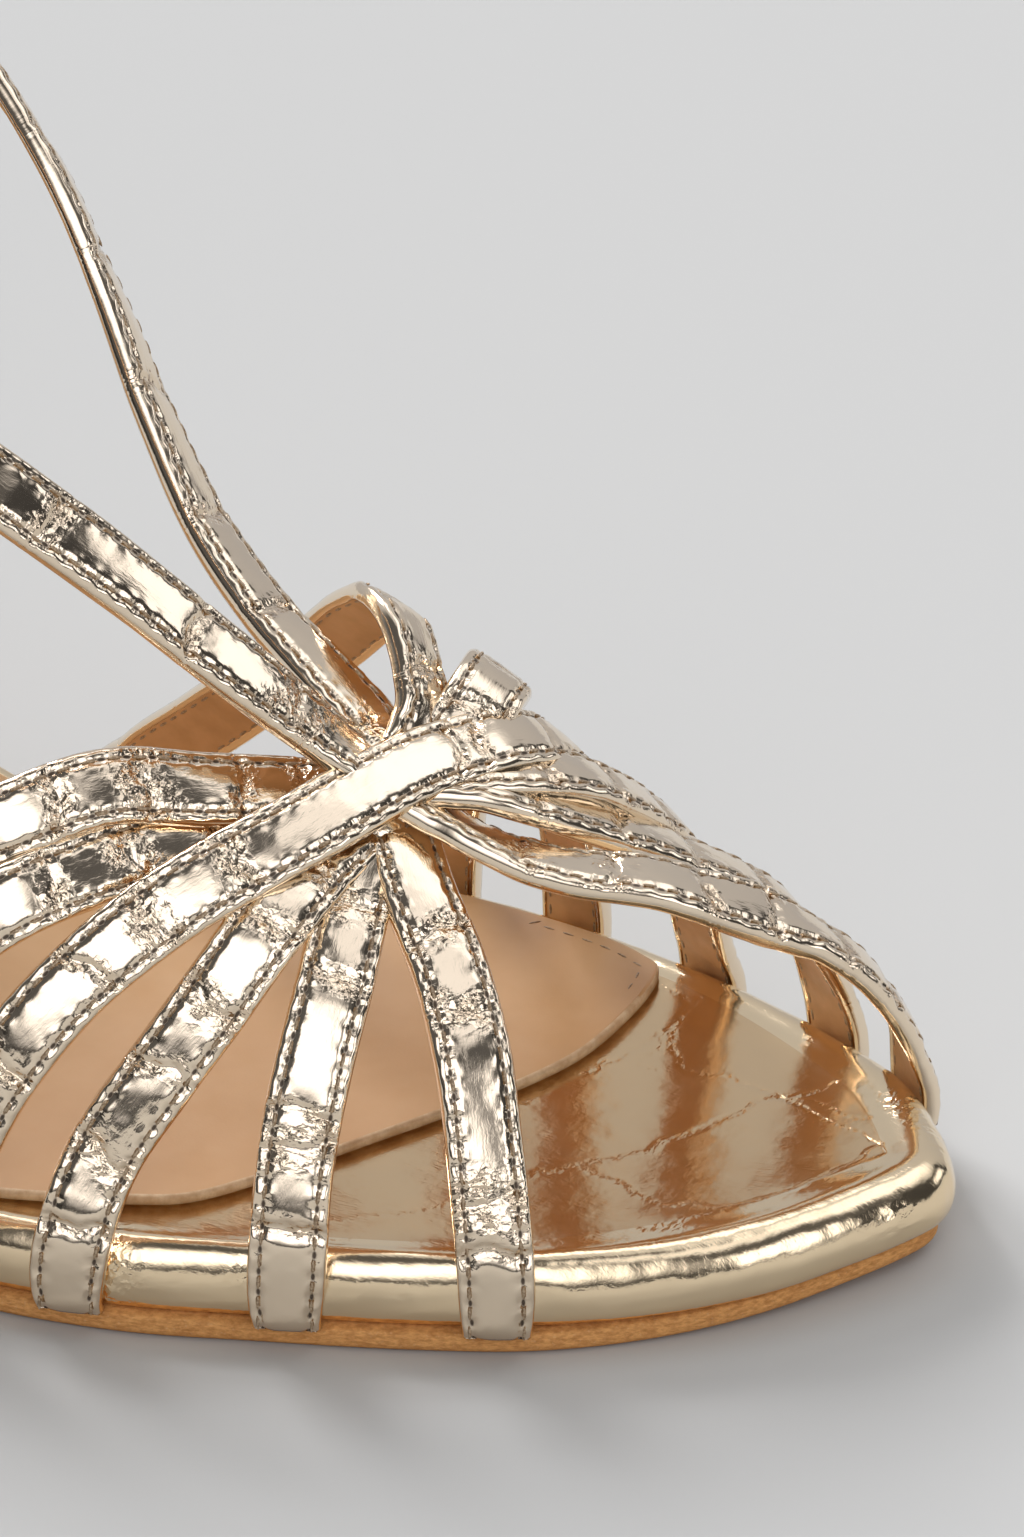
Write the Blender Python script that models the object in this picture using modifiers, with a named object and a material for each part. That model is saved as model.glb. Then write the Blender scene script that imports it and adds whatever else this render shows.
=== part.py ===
"""Ankle strap sandal, a right shoe, built as one assembly of separate solids.

The shoe is drawn in millimetres. A point is given by its station (distance behind the toe tip),
its offset across the shoe (plus is the inner, big toe side) and its height above the floor.
"""
import math

import bmesh
import bpy
import numpy as np

# Driving dimensions in millimetres
MM = 0.001
SHOE_LENGTH = 228.0
ORIGIN_STATION = 114.0
ORIGIN_ACROSS = 0.83
FIT_GAP = 0.3
OUTLINE_STEPS = 44
STRAP_WIDTH = 8.0
STRAP_THICKNESS = 2.0
STRAP_ROUND = 0.5
STRAP_PITCH = 3.8
ANKLE_STRAP_HEIGHT = 134.0
ANKLE_STRAP_EASE = 0.7
FACE_TURN_HEIGHT = 16.0
SOCK_THICKNESS = 1.0
SOCK_STEPS = 26
COUNTER_WALL = 1.6
COUNTER_INSET = 2.6
COUNTER_FRONT = 168.0
COUNTER_BACK_HEIGHT = 58.0
COUNTER_FRONT_HEIGHT = 6.0
HEEL_BREAST_TOP = 184.0
HEEL_BREAST_FOOT = 193.0
HEEL_INSET = 1.2
HEEL_FOOT_BACK = 222.5
HEEL_FOOT_HALF_WIDTH = 15.0
HEEL_STEPS = 12
TOP_LIFT_THICKNESS = 5.5
BUCKLE_STATION = 165.0
BUCKLE_WIRE = 1.8
BUCKLE_LENGTH = 12.0
BUCKLE_HEIGHT = 14.0
BUCKLE_CORNER = 2.5
PRONG_WIRE = 1.4

# Plan outline of the footbed bead: station, outer side, inner side
OUTLINE = (
    (0.0, 10.3, 10.3),
    (2.0, 4.2, 15.6),
    (5.5, -1.6, 20.6),
    (11.0, -9.2, 26.4),
    (19.0, -16.6, 31.2),
    (29.0, -23.2, 35.0),
    (42.0, -29.0, 38.6),
    (57.0, -34.2, 41.4),
    (72.0, -38.8, 42.2),
    (88.0, -40.6, 40.4),
    (106.0, -38.6, 36.2),
    (132.0, -32.6, 30.2),
    (158.0, -29.4, 28.2),
    (182.0, -29.2, 28.2),
    (202.0, -28.4, 27.6),
    (217.0, -22.0, 21.6),
    (225.5, -11.0, 11.0),
    (228.0, 0.0, 0.0),
)

# Side profile of the sole: station, footbed top, footbed thickness, outsole thickness
PROFILE = (
    (0.0, 11.8, 7.9, 1.9),
    (12.0, 10.9, 7.9, 2.1),
    (26.0, 10.4, 7.9, 2.2),
    (88.0, 10.4, 7.9, 2.2),
    (100.0, 11.4, 7.3, 2.3),
    (110.0, 13.9, 6.4, 2.4),
    (119.0, 17.9, 5.5, 2.4),
    (131.0, 26.0, 4.6, 2.4),
    (146.0, 39.5, 4.2, 2.4),
    (165.0, 56.5, 4.2, 2.4),
    (185.0, 70.0, 4.2, 2.4),
    (205.0, 77.8, 4.2, 2.4),
    (228.0, 82.0, 4.2, 2.4),
)

# Rounded edge of the footbed: inset from the outline, share of the thickness
BEAD = (
    (1.0, 0.0),
    (0.3, 0.10),
    (0.0, 0.28),
    (0.05, 0.50),
    (0.5, 0.74),
    (1.4, 0.91),
    (2.6, 0.98),
    (3.8, 0.955),
    (5.0, 0.94),
)

# How far the outsole stands out past the bead: station, lip
LIP = (
    (0.0, -1.7),
    (8.0, -1.6),
    (20.0, -0.7),
    (36.0, 0.3),
    (200.0, 0.3),
    (228.0, 0.0),
)

# How much wider the bead is at the toe: station, share
BEAD_SPREAD = (
    (0.0, 1.5),
    (16.0, 1.45),
    (40.0, 1.0),
    (228.0, 1.0),
)

# Plan outline of the sock: station, outer side, inner side
SOCK = (
    (42.4, 27.0, 27.0),
    (43.2, 16.5, 33.0),
    (46.0, 8.0, 35.2),
    (50.0, 0.5, 36.6),
    (58.0, -13.0, 37.8),
    (63.0, -21.5, 38.2),
    (68.0, -28.0, 38.4),
    (74.0, -31.2, 38.4),
    (80.0, -33.6, 37.8),
    (90.0, -36.2, 36.2),
    (106.0, -34.2, 32.2),
    (132.0, -28.4, 26.2),
    (158.0, -25.2, 24.2),
    (182.0, -25.0, 24.2),
    (202.0, -24.0, 23.4),
    (213.0, -19.0, 18.8),
    (220.0, -11.0, 11.0),
    (223.0, 0.0, 0.0),
)

# Core line of the foot, used to turn every strap's face outwards: station, across, height
CORE = (
    (45.0, 4.0, 12.0),
    (60.0, 2.0, 14.0),
    (80.0, 0.0, 20.0),
    (100.0, 0.0, 32.0),
    (125.0, 0.0, 60.0),
    (150.0, 0.0, 95.0),
    (178.0, 0.0, 112.0),
    (192.0, 0.0, 120.0),
)

# Straps from the outer edge over the vamp to the inner edge: station, across, height
ANKLE_STRAP = (
    (34.2, -27.0, 11.5),
    (37.2, -23.2, 22.1),
    (40.3, -19.4, 30.0),
    (45.3, -14.3, 36.6),
    (50.7, -9.9, 41.5),
    (55.5, -5.0, 46.0),
    (60.5, 1.0, 52.0),
    (67.5, 3.5, 56.0),
    (75.5, 6.5, 60.0),
    (85.0, 11.0, 66.5),
    (92.0, 15.0, 74.0),
    (100.5, 20.5, 84.5),
    (108.5, 24.5, 94.8),
    (118.0, 28.7, 102.8),
    (137.0, 32.5, 116.0),
    (160.0, 33.0, 127.0),
)
FIRST_STRAP = (
    (178.0, -32.4, 129.5),
    (160.0, -33.0, 124.5),
    (134.0, -32.0, 112.5),
    (110.0, -28.5, 99.0),
    (90.5, -23.5, 86.0),
    (80.5, -17.5, 75.5),
    (71.0, -11.0, 64.0),
    (62.0, -5.0, 53.5),
    (53.0, -3.0, 47.0),
    (45.0, -3.0, 44.5),
    (39.0, -1.0, 42.5),
    (31.0, 3.5, 40.8),
    (25.0, 8.5, 37.0),
    (20.3, 15.0, 32.0),
    (15.3, 19.0, 27.0),
    (12.0, 22.5, 20.0),
)
ANKLE_TAIL = (
    (184.0, -34.0, 131.5),
    (170.0, -34.8, 128.5),
    (156.0, -34.9, 123.0),
    (147.0, -34.7, 118.8),
)
SECOND_STRAP = (
    (53.9, -34.5, 11.5),
    (54.4, -31.0, 22.1),
    (54.5, -25.9, 31.0),
    (54.8, -20.8, 36.8),
    (56.2, -13.9, 41.8),
    (57.0, -6.0, 47.0),
    (57.0, 4.0, 52.0),
    (60.0, 9.0, 57.0),
    (64.0, 13.0, 59.5),
    (69.5, 17.0, 56.0),
    (75.0, 20.0, 50.0),
    (93.0, 28.0, 32.0),
    (103.0, 32.8, 22.0),
)
THIRD_STRAP = (
    (75.2, -40.5, 11.2),
    (73.3, -36.8, 19.8),
    (69.0, -32.9, 28.0),
    (64.8, -28.3, 35.6),
    (61.7, -21.9, 42.0),
    (60.0, -14.0, 45.0),
    (57.0, -3.0, 47.2),
    (53.5, 6.0, 51.5),
    (53.0, 12.0, 54.0),
    (56.0, 20.0, 50.0),
    (64.0, 32.0, 37.0),
    (71.0, 40.5, 20.0),
)
FOURTH_STRAP = (
    (116.0, -37.5, 25.0),
    (103.0, -34.5, 40.0),
    (95.0, -32.0, 46.5),
    (88.5, -29.0, 50.5),
    (79.5, -21.0, 53.0),
    (73.0, -15.0, 51.0),
    (66.5, -9.0, 49.3),
    (57.0, -2.0, 48.0),
    (47.0, 2.5, 47.6),
    (42.0, 7.0, 44.3),
    (38.0, 12.0, 40.5),
    (33.5, 17.0, 36.2),
    (29.0, 22.0, 31.5),
    (26.0, 26.5, 26.5),
    (24.2, 30.5, 19.0),
)
FIFTH_STRAP = (
    (104.0, -40.0, 19.0),
    (97.0, -38.5, 31.0),
    (91.0, -36.5, 39.5),
    (86.0, -34.0, 44.0),
    (79.0, -26.0, 46.3),
    (72.0, -17.0, 46.6),
    (60.0, -4.5, 47.4),
    (50.0, 3.0, 49.0),
    (43.5, 11.0, 46.3),
    (40.5, 17.5, 41.2),
    (38.5, 24.0, 35.0),
    (38.5, 30.0, 27.0),
    (39.5, 35.5, 16.0),
)
CROSS_BAND = (
    (88.0, -41.5, 18.0),
    (83.5, -39.5, 28.5),
    (78.0, -34.5, 37.0),
    (72.0, -28.0, 43.0),
    (61.5, -15.0, 49.0),
    (53.5, 1.0, 51.0),
    (49.5, 7.5, 50.5),
    (48.0, 14.0, 47.5),
    (49.5, 21.5, 41.5),
    (54.0, 33.0, 27.0),
)

# Where each strap meets the sole's edge, 0 for a free end, and how its face is turned:
# path, outer station, inner station, turn to the inner side over the vamp, turn upwards behind it
STRAPS = (
    (FIRST_STRAP, 0.0, 12.5, 0.60, 0.25),
    (SECOND_STRAP, 54.5, 110.0, 0.40, 0.0),
    (THIRD_STRAP, 76.0, 73.0, 0.0, 0.0),
    (FOURTH_STRAP, 123.0, 23.5, 0.60, 0.0),
    (FIFTH_STRAP, 107.0, 40.0, 0.60, 0.0),
    (CROSS_BAND, 92.5, 57.5, 0.0, 0.0),
)
INWARD_WAY = np.array((-0.35, 0.9, -0.1))
ANKLE_STRAP_STATION = 34.5

# Plain finishes: name, colour, metallic share, roughness
FINISHES = {
    "gold_leather": ((0.80, 0.68, 0.52), 1.0, 0.25),
    "tan_leather": ((0.55, 0.27, 0.12), 0.0, 0.6),
    "tan_sock": ((0.72, 0.43, 0.22), 0.0, 0.55),
    "black_rubber": ((0.05, 0.045, 0.04), 0.0, 0.7),
    "gold_metal": ((0.83, 0.69, 0.45), 1.0, 0.18),
}


def curve_through(places, values, level=False):
    """Return a smooth function through the given values, level keeps flat runs flat."""
    x = np.array(places, float)
    y = np.array(values, float)
    step = np.diff(x)
    rise = np.diff(y, axis=0) / step.reshape((-1,) + (1,) * (y.ndim - 1))
    slope = np.empty_like(y)
    slope[0] = rise[0]
    slope[-1] = rise[-1]
    before = step[:-1].reshape((-1,) + (1,) * (y.ndim - 1))
    after = step[1:].reshape((-1,) + (1,) * (y.ndim - 1))
    slope[1:-1] = (rise[:-1] * after + rise[1:] * before) / (before + after)
    if level:
        slope[1:-1][rise[:-1] * rise[1:] <= 0] = 0.0

    def value(place):
        at = min(max(float(place), x[0]), x[-1])
        i = min(max(int(np.searchsorted(x, at)) - 1, 0), len(step) - 1)
        t = (at - x[i]) / step[i]
        keep = (2 * t**3 - 3 * t**2 + 1) * y[i] + (t**3 - 2 * t**2 + t) * step[i] * slope[i]
        come = (3 * t**2 - 2 * t**3) * y[i + 1] + (t**3 - t**2) * step[i] * slope[i + 1]
        return keep + come

    return value


def column(table, number):
    """Return one column of a table."""
    return [row[number] for row in table]


class Plan:
    """A plan outline whose two sides are smooth functions of the station."""

    def __init__(self, table):
        self.front = table[0][0]
        self.length = table[-1][0] - self.front
        angles = [self.angle(row[0]) for row in table]
        self.outer = curve_through(angles, column(table, 1))
        self.inner = curve_through(angles, column(table, 2))

    def angle(self, station):
        """Return the angle that stands for a station, so both ends close round."""
        return math.acos(min(max(1 - 2 * (station - self.front) / self.length, -1.0), 1.0))

    def edge(self, station, side):
        """Return the outline's offset across the shoe on one side."""
        pick = self.outer if side < 0 else self.inner
        return float(pick(self.angle(station)))

    def ring(self, steps, first=0.0):
        """Return the outline from the front tip down the inner side and back."""
        start = self.angle(first) if first else 0.0
        angles = [start + (math.pi - start) * k / steps for k in range(steps + 1)]
        stations = [self.front + self.length * (1 - math.cos(a)) / 2 for a in angles]
        inner = [(s, self.edge(s, 1)) for s in stations]
        outer = [(s, self.edge(s, -1)) for s in stations]
        lead = [] if first else [inner[0]]
        body = inner[0 if first else 1:-1]
        back = outer[-2::-1] if first else outer[-2:0:-1]
        return np.array(lead + body + [inner[-1]] + back)


def grown(ring, amount):
    """Return a plan ring moved along its own normals, plus is outwards."""
    along = np.roll(ring, -1, axis=0) - np.roll(ring, 1, axis=0)
    along /= np.linalg.norm(along, axis=1)[:, None]
    normal = np.stack([-along[:, 1], along[:, 0]], axis=1)
    if np.sum((ring - ring.mean(axis=0)) * normal) < 0:
        normal = -normal
    return ring + np.reshape(amount, (-1, 1)) * normal


def eased(share):
    """Return a share from 0 to 1 with soft ends."""
    share = min(max(share, 0.0), 1.0)
    return share * share * (3 - 2 * share)


SOLE = Plan(OUTLINE)
SOCK_PLAN = Plan(SOCK)
FOOTBED_TOP = curve_through(column(PROFILE, 0), column(PROFILE, 1), level=True)
FOOTBED_THICK = curve_through(column(PROFILE, 0), column(PROFILE, 2), level=True)
OUTSOLE_THICK = curve_through(column(PROFILE, 0), column(PROFILE, 3), level=True)
OUTSOLE_LIP = curve_through(column(LIP, 0), column(LIP, 1), level=True)
BEAD_WIDTH = curve_through(column(BEAD_SPREAD, 0), column(BEAD_SPREAD, 1), level=True)
CORE_LINE = curve_through(range(len(CORE)), CORE)
CORE_POINTS = np.array([CORE_LINE(k * (len(CORE) - 1) / 40) for k in range(41)])


def footbed_bottom(station):
    """Return the height of the footbed's under side."""
    return FOOTBED_TOP(station) - FOOTBED_THICK(station)


def outsole_top(station):
    """Return the height of the outsole's upper side."""
    return footbed_bottom(station) - FIT_GAP


def outsole_bottom(station):
    """Return the height of the outsole's tread."""
    return outsole_top(station) - OUTSOLE_THICK(station)


def heights(ring, level):
    """Return the ring as points whose height is a function of the station."""
    return [(s, a, level(s)) for s, a in ring]


def to_frame(point):
    """Return a shoe point as metres in the part's frame."""
    station, across, height = point
    return (ORIGIN_STATION - station) * MM, (across - ORIGIN_ACROSS) * MM, height * MM


def new_object(name, finish, home):
    """Return an empty mesh object with its own material."""
    mesh = bpy.data.meshes.new(name)
    obj = bpy.data.objects.new(name, mesh)
    home.objects.link(obj)
    color, metallic, roughness = FINISHES[finish]
    material = bpy.data.materials.new(name + "_" + finish)
    material.use_nodes = True
    shader = material.node_tree.nodes["Principled BSDF"]
    shader.inputs["Base Color"].default_value = (*color, 1.0)
    shader.inputs["Metallic"].default_value = metallic
    shader.inputs["Roughness"].default_value = roughness
    material.diffuse_color = (*color, 1.0)
    mesh.materials.append(material)
    return obj


def cap_ladder(mesh, ring, pointed):
    """Close a ring with rungs from one side to the other."""
    count = len(ring)
    low = 1 if pointed else 0
    high = count - 1
    if pointed:
        mesh.faces.new((ring[0], ring[low], ring[high]))
    while high - low > 2:
        mesh.faces.new((ring[low], ring[low + 1], ring[high - 1], ring[high]))
        low += 1
        high -= 1
    mesh.faces.new((ring[low], ring[low + 1], ring[high]))


def loft(obj, rings, pointed=True):
    """Fill an object with a closed loft through rings of equal length."""
    mesh = bmesh.new()
    rows = [[mesh.verts.new(to_frame(p)) for p in ring] for ring in rings]
    for lower, upper in zip(rows, rows[1:]):
        for k in range(len(lower)):
            j = (k + 1) % len(lower)
            mesh.faces.new((lower[k], lower[j], upper[j], upper[k]))
    cap_ladder(mesh, rows[0], pointed)
    cap_ladder(mesh, rows[-1], pointed)
    bmesh.ops.recalc_face_normals(mesh, faces=mesh.faces)
    mesh.to_mesh(obj.data)
    mesh.free()


def make_outsole(home):
    """Make the bending leather sole under the footbed."""
    ring = SOLE.ring(OUTLINE_STEPS)
    lip = np.array([OUTSOLE_LIP(s) for s in ring[:, 0]])
    rings = [
        heights(grown(ring, lip - 0.5), outsole_bottom),
        heights(grown(ring, lip), lambda s: outsole_bottom(s) + 0.5),
        heights(grown(ring, lip), lambda s: outsole_top(s) - 0.4),
        heights(grown(ring, lip - 0.4), outsole_top),
    ]
    loft(new_object("outsole", "tan_leather", home), rings)


def make_footbed(home):
    """Make the wrapped platform with its rounded bead."""
    ring = SOLE.ring(OUTLINE_STEPS)
    spread = np.array([BEAD_WIDTH(s) for s in ring[:, 0]])
    rings = []
    for inset, share in BEAD:
        level = lambda s, k=share: footbed_bottom(s) + k * FOOTBED_THICK(s)
        rings.append(heights(grown(ring, -inset * spread), level))
    loft(new_object("footbed", "gold_leather", home), rings)


def make_sock(home):
    """Make the thin sock that lies on the footbed behind the toes."""
    ring = SOCK_PLAN.ring(SOCK_STEPS)
    floor = lambda s: FOOTBED_TOP(s) - 0.05 * FOOTBED_THICK(s) + FIT_GAP
    rings = [
        heights(ring, floor),
        heights(ring, lambda s: floor(s) + SOCK_THICKNESS - 0.3),
        heights(grown(ring, -0.3), lambda s: floor(s) + SOCK_THICKNESS),
    ]
    loft(new_object("insole_sock", "tan_sock", home), rings)


def counter_point(turn, height):
    """Return a point of the heel cup's middle surface, turn -1 outer front to 1 inner front."""
    reach = abs(turn)
    station = COUNTER_FRONT + (SHOE_LENGTH - COUNTER_INSET - COUNTER_FRONT) * math.cos(reach * math.pi / 2)
    side = 1 if turn >= 0 else -1
    plan_station = COUNTER_FRONT + (SHOE_LENGTH - COUNTER_FRONT) * math.cos(reach * math.pi / 2)
    edge = SOLE.edge(plan_station, side)
    across = edge - COUNTER_INSET * side * math.sin(reach * math.pi / 2)
    rise = height / COUNTER_BACK_HEIGHT
    lean = 4.0 * math.sin(math.pi * min(rise, 1.0) * 0.8) - 10.0 * rise**2
    station += lean * math.cos(reach * math.pi / 2) * 0.8
    across *= 1 - 0.06 * rise
    base = FOOTBED_TOP(min(station, SHOE_LENGTH)) + 2 * FIT_GAP
    return np.array((station, across, base + height))


def counter_top(turn):
    """Return the height of the heel cup's upper edge."""
    share = math.cos(min(abs(turn), 1.0) * math.pi / 2) ** 2
    return COUNTER_FRONT_HEIGHT + (COUNTER_BACK_HEIGHT - COUNTER_FRONT_HEIGHT) * share


def make_counter(home):
    """Make the thin cup round the back of the heel."""
    obj = new_object("heel_counter", "gold_leather", home)
    mesh = bmesh.new()
    across, up = 30, 7
    rows = []
    for j in range(up + 1):
        row = []
        for i in range(across + 1):
            turn = -1 + 2 * i / across
            row.append(mesh.verts.new(to_frame(counter_point(turn, counter_top(turn) * j / up))))
        rows.append(row)
    for lower, upper in zip(rows, rows[1:]):
        for i in range(across):
            mesh.faces.new((lower[i], lower[i + 1], upper[i + 1], upper[i]))
    bmesh.ops.recalc_face_normals(mesh, faces=mesh.faces)
    mesh.to_mesh(obj.data)
    mesh.free()
    wall = obj.modifiers.new("wall", "SOLIDIFY")
    wall.thickness = COUNTER_WALL * MM
    wall.offset = 0.0
    wall.use_even_offset = True


def heel_ring(breast, back, half_width, steps):
    """Return a plan ring with a straight front and a round back."""
    length = back - breast
    sides = []
    for k in range(steps + 1):
        turn = math.pi / 2 * k / steps
        sides.append((breast + length * math.sin(turn), half_width * math.cos(turn) ** 0.7))
    return np.array(sides + [(s, -a) for s, a in sides[-2::-1]])


def heel_seat_ring(steps):
    """Return the plan ring of the heel's top, just inside the sole's outline."""
    length = SHOE_LENGTH - HEEL_INSET - HEEL_BREAST_TOP
    inner, outer = [], []
    for k in range(steps + 1):
        share = math.sin(math.pi / 2 * k / steps)
        station = HEEL_BREAST_TOP + length * share
        on_edge = HEEL_BREAST_TOP + (SHOE_LENGTH - HEEL_BREAST_TOP) * share
        inner.append((station, max(SOLE.edge(on_edge, 1) - HEEL_INSET, 0.0)))
        outer.append((station, min(SOLE.edge(on_edge, -1) + HEEL_INSET, 0.0)))
    return np.array(inner + outer[-2::-1])


def make_heel(home):
    """Make the covered heel and the flat lift it stands on."""
    seat = heel_seat_ring(HEEL_STEPS)
    foot = heel_ring(HEEL_BREAST_FOOT, HEEL_FOOT_BACK, HEEL_FOOT_HALF_WIDTH, HEEL_STEPS)
    top = np.array(heights(seat, lambda s: outsole_bottom(s) - FIT_GAP))
    low = np.array(heights(foot, lambda s: TOP_LIFT_THICKNESS + FIT_GAP))
    rings = []
    for drop in (0.0, 0.2, 0.42, 0.66, 0.86, 1.0):
        blend = 1 - (1 - drop) ** 1.6
        ring = top + (low - top) * blend
        ring[:, 2] = top[:, 2] + (low[:, 2] - top[:, 2]) * drop
        rings.append(ring)
    loft(new_object("heel", "gold_leather", home), rings, pointed=False)
    lift = [
        heights(grown(foot, -0.6), lambda s: 0.0),
        heights(grown(foot, -0.2), lambda s: 0.6),
        heights(grown(foot, -0.2), lambda s: TOP_LIFT_THICKNESS),
    ]
    loft(new_object("heel_top_lift", "black_rubber", home), lift, pointed=False)


def edge_normal(station, side):
    """Return the outward direction of the sole's outline, level with the floor."""
    turn = SOLE.edge(station + 0.5, side) - SOLE.edge(station - 0.5, side)
    normal = np.array((-turn, 1.0, 0.0)) * side
    return normal / np.linalg.norm(normal)


def sole_edge(station, side, height):
    """Return a strap's middle point beside the footbed bead."""
    edge = np.array((station, SOLE.edge(station, side), height))
    return tuple(edge + (FIT_GAP + STRAP_THICKNESS / 2) * edge_normal(station, side))


def strap_foot(station, side):
    """Return the two lowest points of a strap, from the outsole up past the bead."""
    tilt = abs(FOOTBED_TOP(station + 4) - FOOTBED_TOP(station - 4)) / 2
    low = outsole_top(station) + FIT_GAP + tilt
    return [sole_edge(station, side, low), sole_edge(station, side, low + 0.6 * FOOTBED_THICK(station))]


def strap_path(outer, rows, inner):
    """Return a strap's whole path from the outer edge to the inner edge."""
    lead = strap_foot(outer, -1) if outer else []
    tail = strap_foot(inner, 1) if inner else []
    return np.array(lead + [tuple(row) for row in rows] + tail[::-1])


def face_normal(point, inward, upward):
    """Return the direction that looks away from the foot, square to the bead low down."""
    away = point - CORE_POINTS
    reach = np.linalg.norm(away, axis=1)[:, None]
    total = np.sum(away / reach**4, axis=0)
    total /= np.linalg.norm(total)
    total += inward * eased((point[1] + 14) / 12) * eased((72 - point[0]) / 16) * INWARD_WAY
    total[2] += upward * eased((point[0] - 60) / 20) * eased((140 - point[0]) / 25)
    share = eased((point[2] - FOOTBED_TOP(point[0])) / FACE_TURN_HEIGHT)
    beside = edge_normal(point[0], 1 if point[1] > 0 else -1)
    return share * total + (1 - share) * beside


def sampled(points, pitch):
    """Return a smooth run of points along a path at an even pitch."""
    gaps = np.linalg.norm(np.diff(points, axis=0), axis=1)
    places = np.concatenate([[0.0], np.cumsum(gaps)])
    run = curve_through(places, points)
    fine = np.array([run(places[-1] * k / 600) for k in range(601)])
    length = np.concatenate([[0.0], np.cumsum(np.linalg.norm(np.diff(fine, axis=0), axis=1))])
    count = max(int(round(length[-1] / pitch)), 2)
    wanted = np.linspace(0, length[-1], count + 1)
    return np.stack([np.interp(wanted, length, fine[:, k]) for k in range(3)], axis=1)


def strap_frames(points, inward=0.0, upward=0.0):
    """Return tangents, face normals and width directions along a strap."""
    along = np.gradient(points, axis=0)
    along /= np.linalg.norm(along, axis=1)[:, None]
    faces = np.array([face_normal(p, inward, upward) for p in points])
    for _ in range(2):
        faces[1:-1] = (faces[:-2] + 2 * faces[1:-1] + faces[2:]) / 4
    faces -= np.sum(faces * along, axis=1)[:, None] * along
    faces /= np.linalg.norm(faces, axis=1)[:, None]
    return along, faces, np.cross(along, faces)


def strap_section(width, thickness):
    """Return the strap's section as width and thickness offsets with eased corners."""
    w, t, r = width / 2, thickness / 2, STRAP_ROUND
    quarter = [(w, -t + r), (w, t - r), (w - r, t), (r - w, t)]
    return quarter + [(-a, -b) for a, b in quarter]


def swept_strap(name, path, home, inward=0.0, upward=0.0):
    """Make one strap as a solid swept along its path."""
    obj = new_object(name, "gold_leather", home)
    points = sampled(path, STRAP_PITCH)
    _, faces, sides = strap_frames(points, inward, upward)
    mesh = bmesh.new()
    rows = []
    for point, face, side in zip(points, faces, sides):
        row = []
        for across, out in strap_section(STRAP_WIDTH, STRAP_THICKNESS):
            row.append(mesh.verts.new(to_frame(point + across * side + out * face)))
        rows.append(row)
    for lower, upper in zip(rows, rows[1:]):
        for k in range(len(lower)):
            j = (k + 1) % len(lower)
            mesh.faces.new((lower[k], lower[j], upper[j], upper[k]))
    mesh.faces.new(rows[0])
    mesh.faces.new(rows[-1])
    bmesh.ops.recalc_face_normals(mesh, faces=mesh.faces)
    mesh.to_mesh(obj.data)
    mesh.free()
    return obj


def ankle_rows():
    """Return the long strap's points round the outside of the heel cup."""
    rows = []
    for turn in (0.62, 0.42, 0.2, 0.0, -0.2, -0.42, -0.62):
        height = ANKLE_STRAP_HEIGHT - 3.0 * abs(turn) - counter_point(turn, 0.0)[2]
        here = counter_point(turn, height)
        ahead = counter_point(turn + 0.02, height)
        behind = counter_point(turn - 0.02, height)
        along = ahead[:2] - behind[:2]
        along /= np.linalg.norm(along)
        normal = np.array((along[1], -along[0]))
        if normal[0] * math.cos(turn * math.pi / 2) + normal[1] * math.sin(turn * math.pi / 2) < 0:
            normal = -normal
        out = (COUNTER_WALL + STRAP_THICKNESS) / 2 + FIT_GAP + ANKLE_STRAP_EASE
        rows.append((here[0] + normal[0] * out, here[1] + normal[1] * out, here[2]))
    return rows


def ankle_strap_path():
    """Return the strap that crosses the vamp, rounds the ankle and ends at the buckle."""
    rows = list(ANKLE_STRAP) + ankle_rows() + list(ANKLE_TAIL)
    return strap_path(ANKLE_STRAP_STATION, rows, 0.0)


def fill_pockets(obj):
    """Fill the closed pockets that straps leave where they lie over each other."""
    mesh = bmesh.new()
    mesh.from_mesh(obj.data)
    left = set(mesh.verts)
    shells = []
    while left:
        shell = []
        edge = [left.pop()]
        while edge:
            vert = edge.pop()
            shell.append(vert)
            for link in vert.link_edges:
                other = link.other_vert(vert)
                if other in left:
                    left.remove(other)
                    edge.append(other)
        shells.append(shell)
    shells.sort(key=len)
    for shell in shells[:-1]:
        bmesh.ops.delete(mesh, geom=shell, context="VERTS")
    mesh.to_mesh(obj.data)
    mesh.free()


def make_upper(home):
    """Make every strap and join them where they cross."""
    whole = swept_strap("upper", ankle_strap_path(), home)
    for number, (rows, outer, inner, inward, upward) in enumerate(STRAPS):
        path = strap_path(outer, rows, inner)
        extra = swept_strap("strap_%d" % number, path, home, inward, upward)
        join = whole.modifiers.new("join_%d" % number, "BOOLEAN")
        join.operation = "UNION"
        join.solver = "EXACT"
        join.use_self = True
        join.object = extra
        bpy.context.view_layer.objects.active = whole
        bpy.ops.object.modifier_apply(modifier=join.name)
        material = extra.data.materials[0]
        bpy.data.objects.remove(extra)
        bpy.data.materials.remove(material)
    fill_pockets(whole)


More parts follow.
